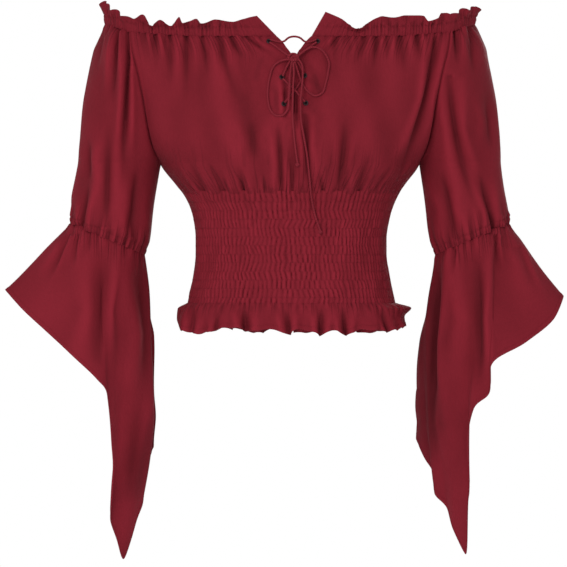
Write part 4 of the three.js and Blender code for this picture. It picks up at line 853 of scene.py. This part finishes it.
# The lighter colour below is painted light on the ridges of the cloth
WINE_PAINTED_LIGHT = linear(127, 30, 43)
WINE_DARK = linear(106, 21, 32)
CLOTH_MATERIAL = cloth_material("wine_cloth", WINE, WINE_PAINTED_LIGHT, WINE_DARK)
LACE_MATERIAL = cord_material("wine_lace", linear(136, 36, 49), linear(92, 20, 29))
THREAD_MATERIAL = cord_material("wine_thread", linear(118, 28, 40), linear(102, 22, 33))
METAL_MATERIAL = metal_material("dark_eyelet")
# A dark colour painted where the eyelets' holes lie in shade
HOLE_SHADE_MATERIAL = cord_material("eyelet_hole_shade", linear(34, 9, 13), linear(22, 6, 9))


def grid(columns, rows):
    return np.meshgrid(np.linspace(0, 1, columns + 1), np.linspace(0, 1, rows + 1))


CASING = 10.5
PUCKER_PITCH = 3.9
# Half the width of the body's cloth, for its creases, and how far creases reach at its gathered edges
HALF_WIDTH = 180
NECK_CREASED = 46
WAIST_CREASED = 84
ELBOW_CREASED = 40
# A sleeve's and a flounce's radius, for their creases, and the lines of stitches from their edges
SLEEVE_RADIUS = 50
FLOUNCE_RADIUS = 44
ELBOW_CASING = 8.5
FLOUNCE_HEM = 6
HEM_THICK = 0.4
# Columns and rows of the pieces' grids
BACK_GRID = (224, 80)
SLEEVE_GRID = (168, 104)
FLOUNCE_GRID = (216, 77)
HEM_GRID = (300, 24)
FRILL_WAVE_COLUMNS = 24
FRILL_ROWS = 20
STITCHED = []


def seam_groove(distance):
    """A seam draws the cloth in along its line."""
    return -0.9 * bell(distance, 1.6) + 0.4 * bell(distance - 4, 2.5)


def casing_groove(away, deep=0.9):
    """The line where gathered cloth leaves its casing."""
    return -deep * bell(away, 1.5)


def pucker(across, away, reach, high=0.5):
    """The tiny even folds that elastic draws into cloth."""
    wave = np.sin(2 * math.pi * across / PUCKER_PITCH + 1.6 * np.sin(across / 9))
    return high * wave * smooth(1 - away / reach)


def keep(made, node):
    """Dresses a piece of cloth in its material, hangs it on the root body and hides the solid that it stands
    for.
    """
    piece = made[0]
    piece.data.materials.append(CLOTH_MATERIAL)
    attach(piece, "root")
    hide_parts(node)


def sew(made, rows, columns=slice(None)):
    """Keeps a line of the cloth's outer points and directions, for stitches."""
    _, outer, normals, ids = made
    picked = ids[rows, columns]
    STITCHED.append((outer[picked] + normals[picked] * STITCH_LIFT, normals[picked]))


def row_near(distance, wanted):
    """In each column, the row of the grid whose distance is nearest to what is wanted."""
    return np.argmin(np.abs(distance - wanted), axis=0)


# Pleats of the waist: they start in the cloth above it and end in the ruffle below
ELASTIC_ROWS = 12
SHIRRING_DEEP = SHIRRING_TOP_Z - SHIRRING_BOTTOM_Z
ROW_PITCH = SHIRRING_DEEP / (ELASTIC_ROWS + 0.6)
PLEATS = {-1: 62, 1: 46}
PLEAT_COLUMNS = {-1: 7, 1: 6}
PLEAT_DEEP = 2.7
PLEAT_REACH = (44, 17)
# How far pleats stray from one row of elastic to the next, in pleats: in slow waves between the knots along a
# row, in jumps, and each for itself. Then how strong they are.
PLEAT_KNOTS = 11
PLEAT_SLOW = 0.42
PLEAT_JUMP = 0.36
PLEAT_QUICK = 0.17
PLEAT_STRONG = (0.3, 1.3)


def seam_fade(across):
    return smooth((1 - np.abs(across)) * 26)


def pleated(face, across, down):
    """Height of the pleats. down is measured from the shirring's top, and is below 0 in the cloth above."""
    dice = np.random.default_rng(103 + face)
    count = ELASTIC_ROWS + 3
    pleats = PLEATS[face]
    slow = dice.uniform(-PLEAT_SLOW, PLEAT_SLOW, (count, PLEAT_KNOTS + 1))
    jump = dice.uniform(-PLEAT_JUMP, PLEAT_JUMP, (count, PLEAT_KNOTS + 1))
    quick = dice.uniform(-PLEAT_QUICK, PLEAT_QUICK, (count, pleats + 2))
    strong = dice.uniform(*PLEAT_STRONG, (count, pleats + 2))
    long = mix(0.12, 1, dice.uniform(0, 1, (2, pleats + 2)) ** 1.7)
    place = np.clip(down, 0, SHIRRING_DEEP) / ROW_PITCH
    band = np.floor(place).astype(int)
    within = place - band
    s = np.clip((across + 1) / 2, 0, 1)
    pleat = s * pleats
    index = np.minimum(np.floor(pleat).astype(int), pleats)
    part = pleat - index
    knot = np.minimum(np.floor(s * PLEAT_KNOTS).astype(int), PLEAT_KNOTS - 1)
    between = smooth(s * PLEAT_KNOTS - knot)

    def at_pleat(values, row):
        return mix(values[row, index], values[row, index + 1], part)

    def at_knot(values, row):
        return mix(values[row, knot], values[row, knot + 1], between)

    def shift(row):
        return at_knot(slow, row) + at_pleat(quick, row)

    phase = pleat + mix(shift(band), shift(band + 1), within) + at_knot(jump, band)
    valley = np.abs(np.sin(math.pi * phase)) ** 0.5
    swell = np.sin(math.pi * within) ** 0.8
    size = mix(at_pleat(strong, band), 1, 0.2) * mix(1, 0.45, smooth(np.abs(across) * 3 - 1.5))
    past = np.maximum(np.maximum(-down, down - SHIRRING_DEEP), 0)
    end = (down > SHIRRING_DEEP / 2).astype(int)
    reach = np.where(end, PLEAT_REACH[1], PLEAT_REACH[0]) * at_pleat(long, end)
    fade = smooth(1 - past / reach)
    return fade * (PLEAT_DEEP * valley * mix(0.84, 1, swell) * size + 0.1 * swell - 1.3)


def body_cloth(face, side, reach, level, p, neck, waist, drape_seed, folds, clear=1, extra=0):
    """Height of the front's or back's cloth, where its fine creases are, and its directions at the seams.
    neck and waist say how it is gathered there, clear how strongly at the neck. extra adds to its height."""
    x, z = p[..., 0], p[..., 2]
    across = side * reach
    away = p[0, :, 2][None] - z
    above_waist = z - SHIRRING_TOP_Z
    edge = smooth((1 - reach) * 14)
    lift = clear * (gathers(x, away, *neck) + pucker(x, away, 9)) + casing_groove(away)
    lift += troughs(folds[0], x, z, folds[1])
    lift += gathers(across * HALF_WIDTH, above_waist, *waist, 0.12) * smooth(above_waist / 8)
    lift += drape(x, z, 6, 95, 40, 1.3, drape_seed, 0.5) * smooth(away / 60) * smooth(above_waist / 40)
    lift = (lift + extra) * edge + pleated(face, across, -above_waist) * seam_fade(reach)
    lift += seam_groove((1 - reach) * HALF_WIDTH) * (level < 1)
    near_waist = 0.8 * smooth(1 - above_waist / WAIST_CREASED)
    gathered = np.maximum(clear * smooth(1 - away / NECK_CREASED), near_waist) * edge
    forced = nothing_forced(reach.shape)
    for column, way in ((0, -1), (-1, 1)):
        rows = level[:, [column]]
        forced[:, column] = np.where(rows < 1, raglan_normal(way, face, rows[:, 0]), [way, 0, 0])
    return lift, gathered, forced


# Front: two half grids that share their centre column below the slit
FRONT_HALF = 168
FRONT_ROWS = 97
SLIT_HEM = 6.5
# The cloth under the lacing: its middle and how far it reaches
LACED = {"x": 5, "z": -62, "wide": 30, "tall": 44}


def make_front():
    levels = np.linspace(0, 1, FRONT_ROWS + 1) ** 1.08 * 2
    reach = np.concatenate([np.linspace(1, 0, FRONT_HALF + 1), np.linspace(0, 1, FRONT_HALF + 1)])
    side = np.repeat([-1.0, 1.0], FRONT_HALF + 1)
    reach, level = np.meshgrid(reach, levels)
    side = np.broadcast_to(side, reach.shape)
    p = panel_point(-1, side, reach, level)
    x, z = p[..., 0], p[..., 2]
    clear = mix(0.12, 1, smooth((np.abs(x - LACED["x"]) - LACED["wide"]) / 26))
    laced = bell(x - LACED["x"], LACED["wide"]) * bell(z - LACED["z"], LACED["tall"])
    laced = laced * (drape(x, z, 7, 34, 15, 1.1, 9, 1.5) + drape(x, z, 6, 19, 9, 0.5, 19, 1.2))
    lift, gathered, forced = body_cloth(
        -1, side, reach, level, p, (50, 62, 1.9, 2.6, 3), (24, 56, 2.2, 3.0, 5), 7, (FRONT_FOLDS, 0.85),
        clear, laced,
    )
    from_slit = np.abs(x - body("middle", -z)) - slit("half", -z)
    hemmed = (-z < SLIT_BOTTOM_DROP + 4) & (from_slit < 10)
    lift += hemmed * HEM_THICK * smooth((SLIT_HEM + 1.5 - from_slit) / 1.5)
    ids = np.arange(reach.size).reshape(reach.shape)
    sewn = -z[:, FRONT_HALF] >= SLIT_BOTTOM_DROP
    ids[sewn, FRONT_HALF + 1] = ids[sewn, FRONT_HALF]
    # Painted shade and painted light along the lacing and the front's folds, from its table
    made = shell(
        "cloth_front", p, lift, (560, 230), joined=ids, cut=FRONT_HALF, forced=forced, tuck=5,
        gathered=gathered, shadow=shaded(FRONT_SHADED, x, z),
    )
    keep(made, "front")
    rows = np.arange(3, int(sewn.argmax()))
    for start, step in ((FRONT_HALF, -1), (FRONT_HALF + 1, 1)):
        off = np.abs(from_slit[rows, start::step][:, :30] - SLIT_HEM)
        sew(made, rows + 1, start + step * np.argmin(off, axis=1))
    return made


def make_back():
    s, t = grid(*BACK_GRID)
    across = 2 * s - 1
    side = np.where(across < 0, -1.0, 1.0)
    reach, level = np.abs(across), t * 2
    p = panel_point(1, side, reach, level)
    lift, gathered, forced = body_cloth(
        1, side, reach, level, p, (44, 60, 2.0, 2.8, 13), (22, 56, 2.2, 3.2, 15), 17, (BACK_FOLDS, 1.1)
    )
    made = shell("cloth_back", p, lift, (540, 210), flip=True, forced=forced, tuck=5, gathered=gathered)
    keep(made, "back")


def make_sleeve(name, side):
    columns, rows = SLEEVE_GRID
    s, t = grid(columns, rows)
    level = t * 2
    p = sleeve_point(side, s, level)
    x, z = p[..., 0], p[..., 2]
    start = raglan("turn", level)
    turning = np.radians(mix(start, 360 - start, s)) * SLEEVE_RADIUS
    away = np.where(level < 1, p[0, :, 2][None] - z, 200)
    up = np.linalg.norm(p - p[-1:], axis=2)
    rim = np.minimum(s, 1 - s) * columns * 1.6
    edge = np.where(level < 1, smooth(rim / 12), 1)
    facing = smooth(np.abs(p[..., 1] - SIDE_Y) / 24)
    behind = np.where(p[..., 1] > SIDE_Y, 9, 0)
    lift = gathers(turning, away, 30, 66, 2.1, 2.8, 21 + side) + pucker(turning, away, 9)
    lift += casing_groove(away)
    lift += troughs(SLEEVE_FOLDS[side], side * x + behind, z) * facing
    lift += gathers(turning, up - 8, 30, 50, 2.3, 2.7, 31 + side, 0.12)
    lift += pucker(turning, np.abs(up - 4), 8, 0.6) - 1.1 * bell(up - ELBOW_CASING, 1.3)
    lift += drape(turning, z, 6, 95, 45, 1.4, 41 + side, 0.6) * smooth(away / 50) * smooth(up / 40)
    lift = lift * edge + seam_groove(rim) * (level < 1)
    gathered = np.maximum(smooth(1 - away / NECK_CREASED), smooth(1 - up / ELBOW_CREASED)) * edge
    ids = np.arange(s.size).reshape(s.shape)
    upper = level[:, 0] < 1
    ids[~upper, -1] = ids[~upper, 0]
    forced = nothing_forced(s.shape)
    for column, face in ((0, -1), (-1, 1)):
        forced[upper, column] = raglan_normal(side, face, level[upper, 0])
    made = shell(
        f"cloth_{name}", p, lift, (330, 270), flip=side < 0, joined=ids, forced=forced, tuck=5,
        gathered=gathered,
    )
    keep(made, name)
    sew(made, row_near(up, ELBOW_CASING) + 1, np.arange(columns + 1))
    sew(made, rows)


def make_flounce(name, side):
    columns, rows = FLOUNCE_GRID
    s, t = grid(columns, rows)
    edge = reader(FLOUNCE_EDGE[side], "turn")
    turn = mix(-25, 335, s)
    p = flounce_point(side, edge, turn, t**0.92)
    x, y, z = np.moveaxis(p, -1, 0)
    run = np.linalg.norm(p - p[:1], axis=2)
    to_edge = np.linalg.norm(p - p[-1:], axis=2)
    around = np.radians(turn) * FLOUNCE_RADIUS
    lift = gathers(around, run, 30, 60, 2.2, 2.8, 51 + side, 0.02) + pucker(around, run, 8)
    lift += casing_groove(run, 0.6)
    lift += smooth((SIDE_Y - y) / 16) * troughs(FLOUNCE_FOLDS[side], side * x, z, 1.5, 0.2, side)
    lift += smooth((y - SIDE_Y) / 16) * troughs(FLOUNCE_FOLDS[side], side * x - 12, z, 1.4, 0.2)
    lift += drape(around * 1.8, run, 6, 120, 55, 1.8, 61 + side, 0.35) * smooth(run / 50)
    lift += HEM_THICK * smooth((FLOUNCE_HEM - to_edge) / 1.5)
    ids = np.arange(s.size).reshape(s.shape)
    ids[:, -1] = ids[:, 0]
    # Painted shade on the flounce's folds where they face forward, and painted light over all of it
    made = shell(
        f"cloth_{name}", p, lift, (560, 300), flip=side < 0, joined=ids, tuck=3, shade=0.7,
        gathered=smooth(1 - run / ELBOW_CREASED),
        shadow=smooth((42 - y) / 14) * shaded(FLOUNCE_SHADED[side], side * x, z) - 0.5,
    )
    keep(made, name)
    sew(made, row_near(to_edge, FLOUNCE_HEM) + 1, np.arange(columns + 1))


def sides_forced(shape):
    """At the side seams of the waist and of the ruffle the cloth faces sideways."""
    forced = nothing_forced(shape)
    forced[:, 0] = (-1, 0, 0)
    forced[:, -1] = (1, 0, 0)
    return forced


def make_shirring(name, face, rows, cut_width):
    """Rows of elastic draw the waist into narrow pleats, which shift sideways from row to row."""
    s, t = grid(PLEATS[face] * PLEAT_COLUMNS[face], rows)
    across = 2 * s - 1
    lift = pleated(face, across, t * SHIRRING_DEEP)
    lift += drape(s * 300, t * 136, 5, 80, 30, 0.7, 100 + face, 1.4) * smooth(np.minimum(t, 1 - t) * 8)
    p = waist_point(face, across, mix(SHIRRING_TOP_Z, SHIRRING_BOTTOM_Z, t))
    # Painted light over the whole waist: its shadow is below 0
    made = shell(
        f"cloth_{name}", p, lift * seam_fade(across), (cut_width * 1000, 140), flip=face > 0, thickness=0.6,
        forced=sides_forced(s.shape), tuck=3, sunk=0.8, shade=1.1, shadow=-0.7,
    )
    keep(made, name)
    for k in range(1, ELASTIC_ROWS + 1):
        sew(made, int(round(k * ROW_PITCH / SHIRRING_DEEP * rows)) + 1)
    return made


def make_hem_ruffle(name, face, seed):
    columns, rows = HEM_GRID
    s, t = grid(columns, rows)
    across = 2 * s - 1
    p = waist_point(face, across, SHIRRING_BOTTOM_Z + 0 * s)
    inside = smooth(np.minimum(s, 1 - s) * 26)
    sideways = stack(np.sign(across), 0, 0)
    out = unit(mix(sideways, unit(stack(p[..., 0], p[..., 1] * 1.5, 0)), inside[..., None]))
    k = s * 4 * HEM_WAVES
    wave = np.cos(2 * math.pi * k / 4 + 0.5 * np.sin(k)) * inside
    side = np.where(across < 0, hem_side("right", t), hem_side("left", t))
    flare = mix(HEM_FLARE * t**0.8, side, across**4)
    p = p + out * (flare + wave * HEM_WAVE_DEPTH * t**1.2)[..., None]
    edge_z = reader(HEM_EDGE[face], "x")("z", p[..., 0])
    p[..., 2] = mix(SHIRRING_BOTTOM_Z, edge_z + 0.8 * np.sin(k * 1.9), t)
    drop = t * HEM_DROP
    lift = gathers(across * 190, drop, 30, 30, 2.2, 2.2, seed) * smooth(drop / 5)
    lift = (lift + troughs(HEM_FOLDS[face], p[..., 0], p[..., 2], 1.1)) * inside
    lift += pleated(face, across, SHIRRING_DEEP + drop) * seam_fade(across)
    lift += HEM_THICK * smooth((drop - HEM_FOLDED) / 1.2)
    # Painted light over the whole ruffle: its shadow is below 0
    made = shell(
        f"cloth_{name}", p, lift, (420, 38), flip=face > 0, forced=sides_forced(s.shape), tuck=3, sunk=0.8,
        gathered=0.8 * smooth(1 - drop / 26) * inside, shade=0.9, shadow=-0.5,
    )
    keep(made, name)
    sew(made, int(rows * 0.84) + 1)


def make_frill(name, waves, spine, height, lean, strength, scallop, outward, ends, seed, cut):
    """The elastic casing at the neckline and the frill that stands above it."""
    s, t = grid(waves * FRILL_WAVE_COLUMNS, FRILL_ROWS)
    up = 1 - t
    tall, strong = height(s), strength(s)
    step = 0.004
    along = spine(np.minimum(1, s + step)) - spine(np.maximum(0, s - step))
    along[..., 2] = 0
    along = unit(along)
    out = stack(along[..., 1], -along[..., 0], 0) * outward
    for near_end, direction in zip((s < 0.5, s > 0.5), ends):
        if direction is not None:
            near = smooth(1 - np.minimum(s, 1 - s) * 14) * near_end
            out = unit(mix(out, direction, near[..., None]))
    k = s * 4 * waves
    size = mix(0.55, 1, np.abs(np.sin(2.399 * np.floor(k / 4) + 0.7)))
    wave = np.sin(2 * math.pi * k / 4) * strong * size
    rise = np.cos(2 * math.pi * k / 4 + 0.8) * scallop * strong
    flop = np.maximum(0, FRILL_TALL - tall) * FRILL_FLOP
    length = s * cut[0] * FRILL_DRAWN
    p = spine(s)
    p[..., 2] += (tall + rise) * up
    p[..., 2] -= 1.2 * np.abs(np.sin(math.pi * length / FRILL_PITCH)) * smooth(1 - up * 4)
    free = np.clip((up - 0.45) / 0.55, 0, 1)
    p += out * (FRILL_FLARE * up + flop * free + wave * FRILL_WAVE * free)[..., None]
    p += along * (lean(s) * up)[..., None]
    high = np.minimum(tall, FRILL_CLOTH) * up
    casing = np.minimum(CASING, tall * 0.55)
    off_casing = np.abs(high - casing)
    full = mix(0.3, 1, strong)
    lift = gathers(length, off_casing, int(cut[0] * 200), 15, 2.2, 2.0, seed)
    lift = lift * np.where(high > casing, 1, 0.45) + pucker(length, np.abs(high - casing / 2), 14, 0.55)
    lift *= full
    lift += 0.8 * np.sin(math.pi * np.clip(high / casing, 0, 1)) - 0.5 * bell(off_casing, 1.2)
    lift += 0.3 * smooth((up - 0.88) / 0.04)
    made = shell(
        f"cloth_{name}", p, lift, (cut[0] * 1000, FRILL_CLOTH), flip=outward < 0, thickness=0.7,
        gathered=smooth(1 - off_casing / 16) * full,
    )
    keep(made, name)
    sew(made, row_near(high, casing), np.arange(s.shape[1]))
    sew(made, FRILL_ROWS - 1)


def make_frills():
    for side in (-1, 1):
        label = "right" if side < 0 else "left"
        frill = reader(FRILL[side], "along")
        make_frill(
            f"frill_front_{label}", 7,
            lambda s: panel_point(-1, side, s, 0 * s),
            lambda s: frill("height", s * FRILL_LENGTH),
            lambda s: frill("lean", s * FRILL_LENGTH),
            lambda s: frill("wave", s * FRILL_LENGTH) * smooth((1 - s) * 9),
            0, side, (None, FORWARD), 71 + side, (0.2, 0.022),
        )
        make_frill(
            f"frill_sleeve_{label}", 6,
            lambda s: sleeve_point(side, s, 0 * s),
            lambda s: mix(
                np.where(s < 0.5, FRILL[side]["height"][-1], BACK_FRILL_HEIGHT),
                SHOULDER_HEIGHT[side],
                smooth(1 - np.abs(2 * s - 1)),
            ),
            lambda s: 0 * s,
            lambda s: smooth(np.minimum(s, 1 - s) * 9),
            FRILL_SCALLOP, side, (FORWARD, BACKWARD), 81 + side, (0.2, 0.024),
        )
    make_frill(
        "frill_back", 12,
        lambda s: panel_point(1, np.where(s < 0.5, -1.0, 1.0), np.abs(2 * s - 1), 0 * s),
        lambda s: BACK_FRILL_HEIGHT + 0 * s,
        lambda s: 0 * s,
        lambda s: smooth(np.minimum(s, 1 - s) * 16),
        FRILL_SCALLOP, -1, (BACKWARD, BACKWARD), 91, (0.44, 0.02),
    )


front = make_front()
make_back()
for label, side in (("right", -1), ("left", 1)):
    make_sleeve(f"sleeve_{label}", side)
    make_flounce(f"flounce_{label}", side)
shirring = make_shirring("shirring_front", -1, 100, 0.52)
make_shirring("shirring_back", 1, 80, 0.46)
make_hem_ruffle("hem_ruffle_front", -1, 111)
make_hem_ruffle("hem_ruffle_back", 1, 112)
make_frills()

sewing = stitches("stitches", STITCHED, THREAD_MATERIAL)
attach(sewing, "root")


# Lace and eyelets, laid on the front's real cloth
def tree_of(o):
    points = [o.matrix_world @ v.co for v in o.data.vertices]
    return BVHTree.FromPolygons(points, [tuple(f.vertices) for f in o.data.polygons])


FRONT_TREES = [tree_of(front[0]), tree_of(shirring[0])]


# Rays towards the cloth start here, in metres
RAY_START = -0.4


def cloth_y(x, z, reach):
    """Depth of the front's cloth: its foremost point within reach. The open slit is bridged."""
    found = []
    for dx, dz in ((0, 0), (-reach, 0), (reach, 0), (0, -reach), (0, reach)):
        for tree in FRONT_TREES:
            hit = tree.ray_cast(Vector(((x + dx) * MM, RAY_START, (z + dz) * MM)), Vector((0, 1, 0)))[0]
            if hit is not None and hit.y < 0:
                found.append(hit.y / MM)
    return min(found) if found else -float(body("front", -z))


LACE_STEP = 2.5


def softened(y):
    """Each value averaged with its neighbours."""
    padded = np.concatenate([y[:1], y, y[-1:]])
    return (padded[:-2] + 2 * y + padded[2:]) / 4


def lay(route):
    """A lace's path over the cloth from its route of x, z and height above it."""
    plan = evened(curved(route, 200), LACE_STEP)
    y = np.array([cloth_y(x, z, CORD * 0.6) for x, z, _ in plan]) - plan[:, 2]
    for _ in range(3):
        y = np.minimum(y, softened(y))
    y = softened(softened(y))
    return np.stack([plan[:, 0], y, plan[:, 1]], axis=1)


def knot(name, middle, half, seed, turns=3):
    """A small knot of lace: a cord wound round itself. half is its half size across, deep and high."""
    angle = np.linspace(0, turns * 2 * math.pi, turns * 26)
    dice = np.random.default_rng(seed)
    tilt = dice.uniform(0.5, 1.1)
    path = np.stack([np.cos(angle), np.sin(angle) * np.cos(angle * tilt), np.sin(angle)], axis=1)
    path *= mix(0.12, 1, np.abs(np.sin(angle * 0.5 * tilt + 0.4)))[:, None]
    return tube(name, path * half + np.asarray(middle), CORD * 0.44, 8, LACE_MATERIAL)


KNOTTED = ("lace_mid_right", "lace_mid_left", "lace_top_right", "lace_top_left")
FREE = {
    "bow_loop_right": "object", "bow_loop_left": "object",
    "lace_tail_left": "knot", "lace_tail_right": "knot",
}
for name, route in LACES.items():
    path = lay(route)
    if name in KNOTTED:
        path = np.concatenate([path, path[-1:] + unit(path[-1:] - path[-2:-1]) * LACE_STEP])
    piece = tube(f"cord_{name}", path, CORD / 2, 10, LACE_MATERIAL)
    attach(piece, "root")
    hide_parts(name)
    if name not in FREE:
        continue
    if FREE[name] == "knot":
        end = knot(f"end_{name}", path[-1], TAIL_KNOT, 7)
        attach(end, "root")

knot_y = cloth_y(KNOT["x"], KNOT["z"], CORD * 0.6) - KNOT["above"]
middle = knot("lace_bow_knot", (KNOT["x"], knot_y, KNOT["z"]), KNOT["half"], 3, 7)
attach(middle, "root")
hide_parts("lace_knot")


EYELET_SIDES = 28
EYELET_HALF = 3.3
# Sections of the ring and of the dark disc of painted shade in it: distance from the middle and height above
# the cloth
EYELET_RING = (
    (1.6, -0.8), (1.75, 0.5), (2.1, 1.0), (2.6, 1.1), (3.05, 0.8), (EYELET_HALF, 0.15), (3.2, -0.3),
)
EYELET_HOLE = ((0.02, 0.12), (1.85, 0.12))


def make_eyelet(name, x, z):
    """A pressed metal ring. Returns the rings of points of the dark disc of painted shade in its hole."""
    def at(dx, dz):
        return np.array([x + dx, cloth_y(x + dx, z + dz, 0), z + dz])

    left, right = at(EYELET_HALF, 0), at(-EYELET_HALF, 0)
    top, bottom = at(0, EYELET_HALF), at(0, -EYELET_HALF)
    normal = unit(np.cross(left - right, top - bottom))
    middle = (left + right) / 2
    proud = max(float(np.dot(point - middle, normal)) for point in (left, right, top, bottom, at(0, 0)))
    first = unit(np.cross(normal, UP))
    second = np.cross(normal, first)
    angle = np.linspace(0, 2 * math.pi, EYELET_SIDES, endpoint=False)[:, None]
    circle = first * np.cos(angle) + second * np.sin(angle)

    def rings(profile):
        return [middle + normal * (proud + high) + r * circle for r, high in profile]

    faces = eyelet_faces(len(EYELET_RING))
    made = mesh_object(f"ring_{name}", np.concatenate(rings(EYELET_RING)), faces, material=METAL_MATERIAL)
    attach(made, "root")
    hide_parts(name)
    return rings(EYELET_HOLE)


def eyelet_faces(rings):
    return ring_faces(rings, EYELET_SIDES)[:, [1, 0, 3, 2]]


# Dark discs of painted shade in the eyelets' holes
discs, disc_faces = [], []
for side, row, x, z in zip(*EYELETS.values()):
    disc_faces.append(eyelet_faces(2) + EYELET_SIDES * len(discs))
    discs += make_eyelet(f"eyelet_{'right' if side < 0 else 'left'}_{int(row)}", x, z)
holes = mesh_object(
    "eyelet_holes_shade", np.concatenate(discs), np.concatenate(disc_faces), material=HOLE_SHADE_MATERIAL
)
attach(holes, "root")

# Stage, light and camera
VIEW = {"x": -8, "z": -307, "far": 10000, "wide": 709}
FLOOR = {"z": -760.0, "wide": 2400.0}


def make_stage():
    """A pale floor."""
    corners = ((-1, -1), (1, -1), (1, 1), (-1, 1))
    points = np.array([(FLOOR["wide"] * x, FLOOR["wide"] * y, FLOOR["z"]) for x, y in corners])
    floor = mesh_object("floor", points, np.array([(0, 1, 2, 3)]))
    material, tree, shader = new_material("pale_floor")
    fill(tree, shader, {"Base Color": (0.9, 0.9, 0.9, 1), "Roughness": 0.9})
    floor.data.materials.append(material)


def area_light(name, place, aim, width, power):
    data = bpy.data.lights.new(name, "AREA")
    data.energy = power
    data.size = width
    made = bpy.data.objects.new(name, data)
    made.location = place
    made.rotation_euler = (Vector(aim) - Vector(place)).to_track_quat("-Z", "Y").to_euler()
    bpy.context.scene.collection.objects.link(made)


make_stage()
area_light("key", (-1.1, -2.8, 0.9), (0, 0, -0.3), 1.1, 41)
area_light("fill", (0.7, -3.1, -1.1), (0, 0, -0.35), 2.0, 42)
area_light("behind", (0.6, 2.8, 0.6), (0, 0, -0.3), 1.8, 60)
world = bpy.data.worlds.new("studio")
world.use_nodes = True
sky = world.node_tree
# White where the camera looks past the blouse, softer as light on it
strength = remap(sky, add_node(sky, "LightPath", "Is Camera Ray", {}), (0, 1), (0.62, 1.0))
fill(sky, sky.nodes["Background"], {"Color": (1, 1, 1, 1), "Strength": strength})
bpy.context.scene.world = world
bpy.context.scene.view_settings.view_transform = "Standard"

lens = bpy.data.cameras.new("camera")
lens.sensor_width = 36
lens.lens = lens.sensor_width * VIEW["far"] / VIEW["wide"]
camera = bpy.data.objects.new("camera", lens)
camera.location = Vector((VIEW["x"], -VIEW["far"], VIEW["z"])) * MM
camera.rotation_euler = (math.pi / 2, 0, 0)
bpy.context.scene.collection.objects.link(camera)
bpy.context.scene.camera = camera
